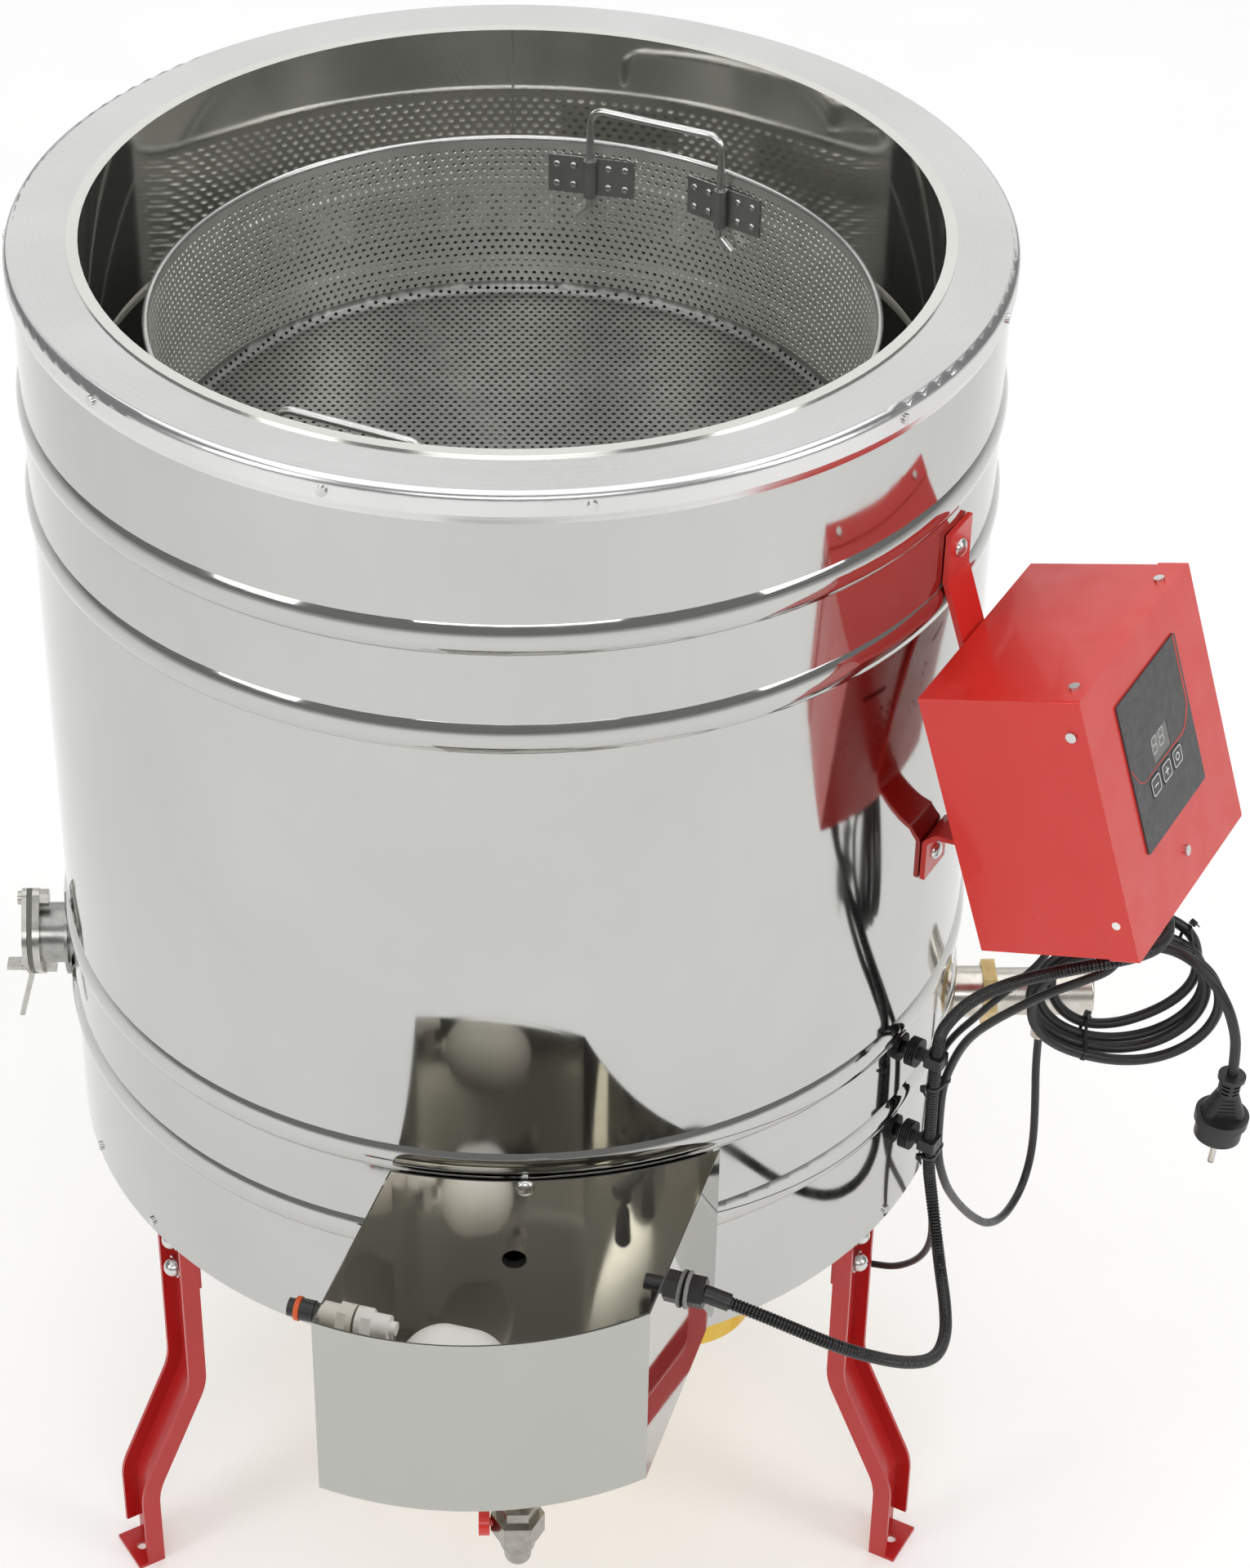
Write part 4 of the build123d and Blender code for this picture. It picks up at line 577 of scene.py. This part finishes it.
def lead(name, points, diameter, replaced):
    """Plain round lead that takes the place of the replaced parts; gives back its line"""
    data = route_curve(name, points)
    line = line_points(data)
    data.bevel_depth = diameter / 2
    data.bevel_resolution = LEAD_STEPS
    data.use_fill_caps = True
    made = piece(name, data, LEAD_BLACK, "frame")
    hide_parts(*replaced)
    return line


def spaced(line, count):
    """Evenly spaced points along a line"""
    step = line_length(line) / count
    points, walked, target = [line[0]], 0.0, step
    for a, b in zip(line, line[1:]):
        run = (b - a).length
        while target <= walked + run + STEP_SLACK and len(points) < count:
            points.append(a.lerp(b, (target - walked) / run))
            target += step
        walked += run
    return points + [line[-1]]


def ring_faces(rings, sides, closed=True):
    """Faces between rings of points, and from the last ring to the first if closed"""
    faces = []
    for ring in range(rings if closed else rings - 1):
        first, after = ring * sides, (ring + 1) % rings * sides
        for side in range(sides):
            beside = (side + 1) % sides
            faces.append((first + side, first + beside, after + beside, after + side))
    return faces


def tube_faces(rings, sides):
    """Faces of a tube from its rings, with both ends filled"""
    faces = ring_faces(rings, sides, closed=False)
    faces.append(tuple(range(sides)))
    faces.append(tuple(range((rings - 1) * sides, rings * sides)))
    return faces


def ribbed_tube(line, radii, sides):
    """Tube along a line whose radius follows the list of radii"""
    points = []
    across = (line[1] - line[0]).orthogonal().normalized()
    for index, (place, radius) in enumerate(zip(line, radii)):
        ahead = (line[min(index + 1, len(line) - 1)] - line[max(index - 1, 0)]).normalized()
        across = (across - ahead * across.dot(ahead)).normalized()
        beside = ahead.cross(across)
        for side in range(sides):
            angle = 2 * math.pi * side / sides
            points.append(place + (across * math.cos(angle) + beside * math.sin(angle)) * radius)
    return points, tube_faces(len(line), sides)


def make_conduit():
    """Corrugated conduit from the box to the level switch"""
    smooth = line_points(route_curve("conduit_route", conduit_route))
    crest = CONDUIT_D / 2
    shoulder = crest * CONDUIT_SHOULDER
    wave = (crest * CONDUIT_VALLEY, shoulder, crest, shoulder)
    line = spaced(smooth, CONDUIT_RIBS * len(wave))
    radii = [wave[index % len(wave)] for index in range(len(line))]
    points, faces = ribbed_tube(line, radii, CONDUIT_SIDES)
    made = mesh_piece("ribbed_conduit", points, faces, CONDUIT_BLACK, "frame")
    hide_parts("conduit")
    return smooth


conduit_line = make_conduit()
heater_line = lead("heater_flex", heater_route, HEATER_LEAD_D, ["heater_lead"])
lead("motor_flex", motor_route, MOTOR_LEAD_D, ["motor_lead"])
mains_line = lead(
    "mains_flex", mains_route, MAINS_D, ["mains_cord", "mains_coil"],
)


# Cable ties
TIE_WIDTH = 0.0026
TIE_SHEET = 0.0009
TIE_HEAD = (0.0045, 0.0038, 0.0042)
TIE_REACH = 0.03
TIE_SLACK = 0.0001
TIE_TAIL = 0.008
TIE_TAIL_SHIFT = (0.001, 0.004)
LOOP_STEPS = 24


def crossings(line, radius, place, axis):
    """Where a lead passes through a tie's plane, with the lead's radius"""
    found = []
    for a, b in zip(line, line[1:]):
        before, after = (a - place).dot(axis), (b - place).dot(axis)
        if before * after <= 0 and before != after:
            spot = a.lerp(b, before / (before - after))
            if (spot - place).length < TIE_REACH:
                found.append((spot, radius))
    return found


def tight_loop(spots):
    """Outline of a band drawn tight round some circles"""
    dots = []
    for x, y, radius in spots:
        for k in range(LOOP_STEPS):
            angle = 2 * math.pi * k / LOOP_STEPS
            dots.append((x + radius * math.cos(angle), y + radius * math.sin(angle)))
    dots.sort()
    loop = []
    for way in (dots, dots[::-1]):
        half = []
        for dot in way:
            while len(half) > 1 and (
                (half[-1][0] - half[-2][0]) * (dot[1] - half[-2][1])
                - (half[-1][1] - half[-2][1]) * (dot[0] - half[-2][0])
            ) <= 0:
                half.pop()
            half.append(dot)
        loop += half[:-1]
    return loop


def block(centre, ways, size, bevel=0.35):
    """Points and faces of a small bar whose long edges are bevelled by a share of its half width"""
    half = [s / 2 for s in size]
    cut = min(half[:2]) * bevel
    ring = [
        (half[0], half[1] - cut), (half[0] - cut, half[1]),
        (cut - half[0], half[1]), (-half[0], half[1] - cut),
        (-half[0], cut - half[1]), (cut - half[0], -half[1]),
        (half[0] - cut, -half[1]), (half[0], cut - half[1]),
    ]
    points = [
        centre + ways[0] * x + ways[1] * y + ways[2] * z
        for z in (-half[2], half[2]) for x, y in ring
    ]
    return points, tube_faces(2, len(ring))


def joined(*shapes):
    """One set of points and faces from several"""
    points, faces = [], []
    for more, rings in shapes:
        faces += [tuple(index + len(points) for index in face) for face in rings]
        points += more
    return points, faces


def band(loop, centre, ways, width, sheet):
    """Closed flat strap that follows a loop"""
    points = []
    middle = (sum(x for x, _ in loop) / len(loop), sum(y for _, y in loop) / len(loop))
    for x, y in loop:
        out = Vector((x - middle[0], y - middle[1])).normalized() * sheet
        corners = (0, 0, -1), (0, 0, 1), (out.x, out.y, 1), (out.x, out.y, -1)
        for dx, dy, z in corners:
            points.append(
                centre + ways[0] * (x + dx) + ways[1] * (y + dy) + ways[2] * (z * width / 2)
            )
    return points, ring_faces(len(loop), len(corners))


def tie(name, place, axis, head_way, leads):
    """Cable tie round the leads that pass near a place, with its head on one side and a cut tail"""
    place, axis = Vector(place), Vector(axis).normalized()
    across = (Vector(head_way) - axis * axis.dot(Vector(head_way))).normalized()
    ways = across, axis.cross(across), axis
    spots = []
    for line, diameter in leads:
        for spot, radius in crossings(line, diameter / 2, place, axis):
            away = spot - place
            spots.append((away.dot(ways[0]), away.dot(ways[1]), radius + TIE_SLACK))
    loop = tight_loop(spots)
    far = max(loop)
    head = place + ways[0] * (far[0] + TIE_SHEET + TIE_HEAD[0] / 2) + ways[1] * far[1]
    tail = head + ways[0] * TIE_TAIL_SHIFT[0] + ways[1] * TIE_TAIL_SHIFT[1]
    points, faces = joined(
        band(loop, place, ways, TIE_WIDTH, TIE_SHEET),
        block(head, ways, TIE_HEAD),
        block(tail, (ways[0], ways[2], ways[1]), (TIE_SHEET, TIE_WIDTH, TIE_TAIL)),
    )
    made = mesh_piece(name, points, faces, BLACK_PLASTIC, "frame")


lead_pair = [(conduit_line, CONDUIT_D), (heater_line, HEATER_LEAD_D)]
coil_loops = [(mains_line, MAINS_D)]
tie("tie_upper", (0.3185, -0.1945, 0.524), (0, 0, 1), (-1, -0.25, 0), lead_pair)
tie("tie_lower", (0.319, -0.194, 0.455), (0.05, 0, 1), (-1, -0.25, 0), lead_pair)
tie("tie_coil", (0.420, -0.2145, 0.5835), (0.93, 0, -0.36), (0.25, 0.2, 0.9), coil_loops)
tie("tie_bundle", (0.487, -0.2145, 0.6675), (0.72, 0, -0.69), (0.55, 0.3, 0.7), coil_loops)


# Basket of perforated sheet
BASKET_R = 0.2582
SHEET = 0.0012
WALL_LOW = 0.954
WALL_HIGH = 1.0795
WALL_COLUMNS = 252
WALL_ROWS = 21
WALL_FIRST_ROW = 0.9602
HOLE_R = 0.00172
BEAD_R = 0.0022
BEAD_HEIGHT = 1.081
BEAD_SIDES = 10
HEX = [(1, 1), (0, 2), (-1, 1), (-1, -1), (0, -2), (1, -1)]
HEX_SIDES = len(HEX)
HEX_START = 30
FLOOR_HEIGHT = 0.950
FLOOR_DISH = 0.009
FLOOR_PITCH = 0.0067
FLOOR_SLACK = 0.0001
FLOOR_R = BASKET_R - SHEET - FLOOR_SLACK
FLOOR_PLAIN_EDGE = 0.0045
FLOOR_STEPS = 360


class Sheet:
    """Perforated sheet drawn flat as hexagonal cells, then given its two faces"""

    def __init__(self, pitch):
        self.half = pitch / 2
        self.rise = pitch / math.sqrt(3) / 2
        self.flat = []
        self.known = {}
        self.faces = []
        self.rims = []

    def corner(self, x, y, turns=None):
        """Index of a shared corner of the cells, on a grid of half pitches"""
        key = (x % turns if turns else x, y)
        if key not in self.known:
            self.known[key] = len(self.flat)
            self.flat.append((key[0] * self.half, y * self.rise))
        return self.known[key]

    def cell(self, x, y, turns=None):
        """One cell with its hole"""
        outer = [self.corner(x + dx, y + dy, turns) for dx, dy in HEX]
        first = len(self.flat)
        for index in range(HEX_SIDES):
            angle = math.radians(HEX_START + 360 * index / HEX_SIDES)
            across, up = HOLE_R * math.cos(angle), HOLE_R * math.sin(angle)
            self.flat.append((x * self.half + across, y * self.rise + up))
        inner = list(range(first, first + HEX_SIDES))
        for a in range(HEX_SIDES):
            b = (a + 1) % HEX_SIDES
            self.faces.append((outer[a], outer[b], inner[b], inner[a]))
        self.rims.append(inner)

    def thick(self, front, back):
        """Points and faces of the sheet with both skins, the holes' walls and its outer edges"""
        count = len(self.flat)
        points = [front(x, y) for x, y in self.flat] + [back(x, y) for x, y in self.flat]
        faces = list(self.faces) + [tuple(i + count for i in reversed(face)) for face in self.faces]
        sides = {}
        for face in self.faces:
            for a, b in zip(face, face[1:] + face[:1]):
                sides[(a, b)] = True
        for a, b in sides:
            if (b, a) not in sides:
                faces.append((b, a, a + count, b + count))
        return points, faces


def basket_wall():
    """Perforated wall with plain edges"""
    turns = 2 * WALL_COLUMNS
    sheet = Sheet(2 * math.pi * BASKET_R / WALL_COLUMNS)
    for row in range(WALL_ROWS):
        for column in range(WALL_COLUMNS):
            sheet.cell(2 * column + row % 2, 3 * row, turns)
    top_row = 3 * (WALL_ROWS - 1)
    low_edge = (WALL_LOW - WALL_FIRST_ROW) / sheet.rise
    high_edge = (WALL_HIGH - WALL_FIRST_ROW) / sheet.rise
    shift = (WALL_ROWS - 1) % 2
    for column in range(turns):
        low = [sheet.corner(column + k, -1 - (column + k + 1) % 2, turns) for k in (0, 1)]
        high = [
            sheet.corner(column + k, top_row + 1 + (column + k + shift + 1) % 2, turns)
            for k in (0, 1)
        ]
        low_rim = [sheet.corner(column + k, low_edge, turns) for k in (0, 1)]
        sheet.faces.append((*low_rim, low[1], low[0]))
        high_rim = [sheet.corner(column + k, high_edge, turns) for k in (1, 0)]
        sheet.faces.append((*high, *high_rim))

    def at(radius):
        """How the flat sheet is rolled to a radius"""
        def place(x, y):
            angle = x / sheet.half / turns * 2 * math.pi
            return (radius * math.cos(angle), radius * math.sin(angle), WALL_FIRST_ROW + y)
        return place

    points, faces = sheet.thick(at(BASKET_R), at(BASKET_R - SHEET))
    made = mesh_piece("perforated_wall", points, faces, BASKET_STEEL, "basket")
    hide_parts("basket_wall")


def rolled_rim():
    """Rolled edge on top of the basket's wall"""
    points = []
    for column in range(WALL_COLUMNS):
        angle = 2 * math.pi * column / WALL_COLUMNS
        for side in range(BEAD_SIDES):
            turn = 2 * math.pi * side / BEAD_SIDES
            radius = BASKET_R + BEAD_R * math.cos(turn)
            height = BEAD_HEIGHT + BEAD_R * math.sin(turn)
            points.append((radius * math.cos(angle), radius * math.sin(angle), height))
    faces = ring_faces(WALL_COLUMNS, BEAD_SIDES)
    made = mesh_piece("rolled_rim", points, faces, WIRE_STEEL, "basket")


def basket_floor():
    """Perforated floor whose edge turns up inside the wall"""
    arc = FLOOR_DISH * math.pi / 2
    flat_r = FLOOR_R - FLOOR_DISH
    reach = flat_r + arc
    sheet = Sheet(FLOOR_PITCH)
    rows = int(reach / sheet.rise / 3) + 1
    columns = int(reach / sheet.half / 2) + 1
    room = reach - FLOOR_PLAIN_EDGE
    for row in range(-rows, rows + 1):
        for column in range(-columns, columns + 1):
            x, y = 2 * column + row % 2, 3 * row
            if math.hypot(x * sheet.half, y * sheet.rise) < room:
                sheet.cell(x, y)
    shape = bmesh.new()
    vertices = [shape.verts.new((x, y, 0)) for x, y in sheet.flat]
    for face in sheet.faces:
        shape.faces.new([vertices[index] for index in face])
    holes = {
        frozenset((rim[k], rim[(k + 1) % HEX_SIDES]))
        for rim in sheet.rims for k in range(HEX_SIDES)
    }
    shape.verts.index_update()
    edge = [
        e for e in shape.edges
        if e.is_boundary and frozenset(v.index for v in e.verts) not in holes
    ]
    ring = [
        shape.verts.new((reach * math.cos(t), reach * math.sin(t), 0))
        for t in (2 * math.pi * k / FLOOR_STEPS for k in range(FLOOR_STEPS))
    ]
    border = [shape.edges.new((ring[k], ring[(k + 1) % FLOOR_STEPS])) for k in range(FLOOR_STEPS)]
    bmesh.ops.triangle_fill(shape, use_beauty=True, edges=edge + border, normal=(0, 0, 1))
    shape.verts.index_update()
    sheet.flat = [(v.co.x, v.co.y) for v in shape.verts]
    sheet.faces = []
    for face in shape.faces:
        loop = [v.index for v in face.verts]
        sheet.faces.append(tuple(loop if face.normal.z > 0 else reversed(loop)))
    shape.free()

    def at(inset):
        """How the flat sheet is dished, for a skin that lies inside the outer one"""
        def place(x, y):
            along = math.hypot(x, y)
            if along <= flat_r:
                return (x, y, FLOOR_HEIGHT + inset)
            turn = (along - flat_r) / FLOOR_DISH
            radius = flat_r + (FLOOR_DISH - inset) * math.sin(turn)
            return (
                x / along * radius, y / along * radius,
                FLOOR_HEIGHT + FLOOR_DISH - (FLOOR_DISH - inset) * math.cos(turn),
            )
        return place

    points, faces = sheet.thick(at(SHEET), at(0.0))
    made = mesh_piece("perforated_floor", points, faces, BASKET_FLOOR_SHADED_STEEL, "basket")
    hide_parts("basket_floor")


basket_wall()
rolled_rim()
basket_floor()


# Small fittings turned about an axis; each profile runs along the axis and outward
TANK_SIDE = Vector((0.957, -0.291, 0))
RING_OFFSET = 0.042
HOSE_RING = Vector((-0.1146, -0.4151, 0.498)) - TANK_SIDE * RING_OFFSET
SWITCH_WALL = Vector((0.1202, -0.3987, 0.510))
COVER_CAP = box_point(-0.0964, -0.176, 0.110)
RING_SIDES = 40
CAP_SIDES = 28
RING_PROFILE = [
    (-0.002, 0.0078), (-0.002, 0.0085), (-0.0014, 0.009),
    (0.0014, 0.009), (0.002, 0.0085), (0.002, 0.0078),
]
WASHER_PROFILE = [
    (0.0009, 0.0125), (0.0009, 0.0136), (0.0013, 0.014),
    (0.0032, 0.014), (0.0036, 0.0136), (0.0036, 0.0062),
]
CAP_PROFILE = [(-0.0004, 0.0), (0.0006, 0.0), (0.0006, 0.0021), (0.0002, 0.0031), (-0.0004, 0.0032)]


def spun(place, axis, profile, sides):
    """Points and faces of a ring or cap from its profile of distance along an axis and radius"""
    place, axis = Vector(place), Vector(axis).normalized()
    across = axis.orthogonal().normalized()
    beside = axis.cross(across)
    points = []
    for side in range(sides):
        angle = 2 * math.pi * side / sides
        out = across * math.cos(angle) + beside * math.sin(angle)
        points += [place + axis * along + out * radius for along, radius in profile]
    return points, ring_faces(sides, len(profile))


def lathe(name, place, axis, profile, sides, material):
    """Ring or cap on the frame"""
    made = mesh_piece(name, *spun(place, axis, profile, sides), material, "frame")


lathe("hose_ring", HOSE_RING, TANK_SIDE, RING_PROFILE, RING_SIDES, ORANGE)
lathe("switch_washer", SWITCH_WALL, TANK_SIDE, WASHER_PROFILE, RING_SIDES, WASHER)
lathe("cover_cap", COVER_CAP, -BOX_SIDE, CAP_PROFILE, CAP_SIDES, WHITE_PLASTIC)


# Blind rivets of the basket's sleeve plates, with a hole left in each head
RIVET_SEAT = 0.2523
RIVET_HEIGHT = 1.0545
RIVET_PROFILE = [
    (0.0002, 0.0011), (0.0002, 0.0029), (-0.0004, 0.0027), (-0.0008, 0.0021), (-0.0009, 0.0013),
]
RIVET_ACROSS = (-0.0265, -0.0135, 0.0135, 0.0265)
RIVET_RISES = (-0.008, 0.008)
RIVET_SIDES = 18
SLEEVE_AZIMUTHS = (51.5, 76.5, -128.5, -103.5)


def sleeve_rivets():
    """Eight rivets on each of the four sleeve plates"""
    shapes = []
    for azimuth in SLEEVE_AZIMUTHS:
        out = turned(Vector((1, 0, 0)), UP, azimuth)
        along = UP.cross(out)
        for across in RIVET_ACROSS:
            for rise in RIVET_RISES:
                seat = out * RIVET_SEAT + along * across + UP * (RIVET_HEIGHT + rise)
                shapes.append(spun(seat, out, RIVET_PROFILE, RIVET_SIDES))
    made = mesh_piece("sleeve_rivets", *joined(*shapes), ZINC, "basket")


sleeve_rivets()


# Grip ridges on the plug's wedge
PLUG_NECK = Vector((0.5229, -0.264, 0.5915))
PLUG_BACK = Vector((0, 1, 0))
PLUG_LEAN = 5
PLUG_UP = turned(UP, PLUG_BACK, PLUG_LEAN)
PLUG_ACROSS = PLUG_BACK.cross(PLUG_UP)
GRIP = (0.0011, 0.0018)
GRIP_DROP = 0.020
GRIP_PITCH = 0.0032
WEDGE_DROP = 0.016
WEDGE_LENGTH = 0.021
WEDGE_HALF = 0.0075
WEDGE_GAIN = 0.0025
GRIP_WIDTHS = (0.009, 0.0105, 0.012, 0.0135, 0.015)


def plug_grips():
    """Five ridges on the front and the back of the plug's wedge"""
    bars = []
    for side in (1, -1):
        for index, width in enumerate(GRIP_WIDTHS):
            drop = GRIP_DROP + GRIP_PITCH * index
            thick = WEDGE_HALF + WEDGE_GAIN * (drop - WEDGE_DROP) / WEDGE_LENGTH
            centre = PLUG_NECK - PLUG_UP * drop + PLUG_BACK * side * thick
            bars.append(block(centre, (PLUG_UP, PLUG_BACK, PLUG_ACROSS), (*GRIP, width)))
    made = mesh_piece("plug_grips", *joined(*bars), BLACK_PLASTIC, "frame")


plug_grips()


# Bright skins of the plug's pins
PIN_ROOT = 0.058
PIN_PLACES = ((-0.0025, -0.0092), (0.0025, 0.0092))
PIN_SIDES = 24
PIN_PROFILE = [
    (0.0005, 0.002), (0.0005, 0.00246), (0.0182, 0.00246),
    (0.01908, 0.0018), (0.01908, 0.0002), (0.0187, 0.0002),
]


def plug_pins():
    """Metal skin on each pin"""
    root = PLUG_NECK - PLUG_UP * PIN_ROOT
    places = [root + PLUG_ACROSS * x + PLUG_BACK * y for x, y in PIN_PLACES]
    pins = [spun(place, -PLUG_UP, PIN_PROFILE, PIN_SIDES) for place in places]
    made = mesh_piece("plug_pins", *joined(*pins), NICKEL, "frame")


plug_pins()


# Keypad print and display
FILM_TOP = 0.1224
KEY_TOP = 0.1229
WINDOW_TOP = 0.1221
WINDOW_SILL = 0.1176
PRINT_RISE = 0.00012
PRINT_SINK = -0.0001
PRINT_CORNERS = ((1, PRINT_SINK), (1, PRINT_RISE), (-1, PRINT_RISE), (-1, PRINT_SINK))
KEY_LINE = 0.0007
SIGN_LINE = 0.001
SIGN_REACH = 0.0033
SIGN_RING = 0.0026
SIGN_STEPS = 28
KEY_PRINT = (0.0134, 0.0122)
KEY_Y = -0.1088
KEY_X = {"minus": -0.021, "plus": -0.002, "power": 0.017}
KEY_CORNER = 0.0022
CORNER_STEPS = 6
WINDOW = (-0.0014, -0.0864)
WINDOW_SIZE = (0.0279, 0.0199)
DIGIT_X = (-0.0094, 0.0026)
DIGIT_Y = -0.0833
DIGIT_WIDTH = 0.0072
DIGIT_HALF = 0.0058
DIGIT_LEAN = 0.0007
DIGIT_GAP = 0.0005
DIGIT_LINE = 0.0013
SEGMENTS = [
    ((0, 1), (1, 1)), ((0, 0), (1, 0)), ((0, -1), (1, -1)), ((0, 0), (0, 1)),
    ((1, 0), (1, 1)), ((0, -1), (0, 0)), ((1, -1), (1, 0)),
]
RED_LINE = [
    (0.0478, -0.0300), (0.0480, -0.0790), (0.0470, -0.0845), (0.0430, -0.0905), (0.0390, -0.0953),
    (0.0350, -0.0980), (0.0310, -0.0990), (0.0215, -0.0990), (0.0114, -0.0988), (-0.0136, -0.0985),
    (-0.0266, -0.0987), (-0.0320, -0.0987), (-0.0360, -0.0981), (-0.0404, -0.0961),
    (-0.0437, -0.0925), (-0.0458, -0.0888), (-0.0512, -0.0798),
]
RED_WIDTHS = [
    0.0016, 0.0018, 0.0018, 0.0017, 0.0016, 0.0014, 0.0013, 0.0011, 0.0009, 0.0007,
    0.0006, 0.0006, 0.0006, 0.0006, 0.0006, 0.0006, 0.0006,
]


def rounded_square(x, y, width, height, radius):
    """Outline of a square with round corners"""
    outline = []
    for sx, sy, start in ((1, 1, 0), (-1, 1, 90), (-1, -1, 180), (1, -1, 270)):
        for k in range(CORNER_STEPS + 1):
            angle = math.radians(start + 90 * k / CORNER_STEPS)
            outline.append((
                x + sx * (width / 2 - radius) + radius * math.cos(angle),
                y + sy * (height / 2 - radius) + radius * math.sin(angle),
            ))
    return outline


def printed_line(outline, width, top, closed=False):
    """Raised line on the control box's front, with one width or a width for each point"""
    points = []
    count = len(outline)
    widths = width if isinstance(width, list) else [width] * count
    for k, (x, y) in enumerate(outline):
        before = outline[k - 1] if k or closed else outline[0]
        after = outline[(k + 1) % count] if k < count - 1 or closed else outline[-1]
        ahead = Vector((after[0] - before[0], after[1] - before[1])).normalized()
        beside = Vector((-ahead.y, ahead.x)) * (widths[k] / 2)
        for side, rise in PRINT_CORNERS:
            points.append(box_point(x + side * beside.x, y + side * beside.y, top + rise))
    corners = len(PRINT_CORNERS)
    return points, ring_faces(count, corners) if closed else tube_faces(count, corners)


def printed(name, shapes, material, body):
    """Flat-faced piece made of printed lines"""
    made = mesh_piece(name, *joined(*shapes), material, body, smooth=False)


def key_print(name, x, body, sign):
    """White frame and sign on a key"""
    outline = rounded_square(x, KEY_Y, *KEY_PRINT, KEY_CORNER)
    frame_line = printed_line(outline, KEY_LINE, KEY_TOP, closed=True)
    printed(name, [frame_line] + sign(x, KEY_Y), INK, body)


def minus_sign(x, y):
    """Short bar"""
    return [printed_line([(x - SIGN_REACH, y), (x + SIGN_REACH, y)], SIGN_LINE, KEY_TOP)]


def plus_sign(x, y):
    """Bar with an upright in two halves"""
    return minus_sign(x, y) + [
        printed_line([(x, y + SIGN_LINE / 2), (x, y + SIGN_REACH)], SIGN_LINE, KEY_TOP),
        printed_line([(x, y - SIGN_REACH), (x, y - SIGN_LINE / 2)], SIGN_LINE, KEY_TOP),
    ]


def power_sign(x, y):
    """Ring"""
    turns = [2 * math.pi * k / SIGN_STEPS for k in range(SIGN_STEPS)]
    circle = [(x + SIGN_RING * math.cos(turn), y + SIGN_RING * math.sin(turn)) for turn in turns]
    return [printed_line(circle, SIGN_LINE, KEY_TOP, closed=True)]


def digit(x, y):
    """Segments of one digit of the display"""
    shapes = []
    for (x1, y1), (x2, y2) in SEGMENTS:
        ends = []
        for across, up, other in ((x1, y1, (x2, y2)), (x2, y2, (x1, y1))):
            gap = DIGIT_GAP * (other[0] - across)
            px = x + (across - 0.5) * DIGIT_WIDTH + gap + up * DIGIT_LEAN
            py = y + up * DIGIT_HALF + DIGIT_GAP * (other[1] - up)
            ends.append((px, py))
        shapes.append(printed_line(ends, DIGIT_LINE, WINDOW_TOP))
    return shapes


key_print("minus_print", KEY_X["minus"], "minus_key", minus_sign)
key_print("plus_print", KEY_X["plus"], "plus_key", plus_sign)
key_print("power_print", KEY_X["power"], "power_key", power_sign)
sill = box_point(WINDOW[0], WINDOW[1], (WINDOW_SILL + WINDOW_TOP) / 2)
window_size = (*WINDOW_SIZE, WINDOW_TOP - WINDOW_SILL)
window_pane = block(sill, (BOX_SIDE, BOX_UP, BOX_FRONT), window_size, bevel=0.02)
made_window = mesh_piece("display_window", *window_pane, DISPLAY, "frame", smooth=False)
digits = [shape for x in DIGIT_X for shape in digit(WINDOW[0] + x, DIGIT_Y)]
printed("display_digits", digits, DIGIT, "frame")
printed("red_line", [printed_line(RED_LINE, RED_WIDTHS, FILM_TOP)], RED_INK, "frame")


# Weld seam down the inside of the drum, above the basket
DRUM_R = 0.300
SEAM_LOW = 1.029
SEAM_HIGH = 1.1485
SEAM_HALF = 0.0015
SEAM_RISE = 0.0004
SEAM_SINK = 0.0001
SEAM_ROWS = 40
SEAM_ACROSS = (-1, -0.5, 0, 0.5, 1)


def drum_seam():
    """Low rounded weld bead on the drum's inner wall"""
    points = []
    for row in range(SEAM_ROWS + 1):
        height = SEAM_LOW + (SEAM_HIGH - SEAM_LOW) * row / SEAM_ROWS
        for across in SEAM_ACROSS:
            depth = SEAM_RISE * (1 - across * across) - SEAM_SINK
            points.append((across * SEAM_HALF, DRUM_R - depth, height))
    wide = len(SEAM_ACROSS)
    firsts = [row * wide + k for row in range(SEAM_ROWS) for k in range(wide - 1)]
    faces = [(first, first + 1, first + wide + 1, first + wide) for first in firsts]
    made = mesh_piece("drum_seam", points, faces, WIRE_STEEL, "frame")


drum_seam()

# Stage
floor_mesh = bpy.data.meshes.new("studio_floor")
half_floor = FLOOR_SIZE / 2
floor_signs = (-1, -1), (1, -1), (1, 1), (-1, 1)
floor_corners = [(x * half_floor, y * half_floor, 0) for x, y in floor_signs]
floor_mesh.from_pydata(floor_corners, [], [(0, 1, 2, 3)])
floor_mesh.materials.append(FLOOR)
studio_floor = bpy.data.objects.new("studio_floor", floor_mesh)
scene.collection.objects.link(studio_floor)
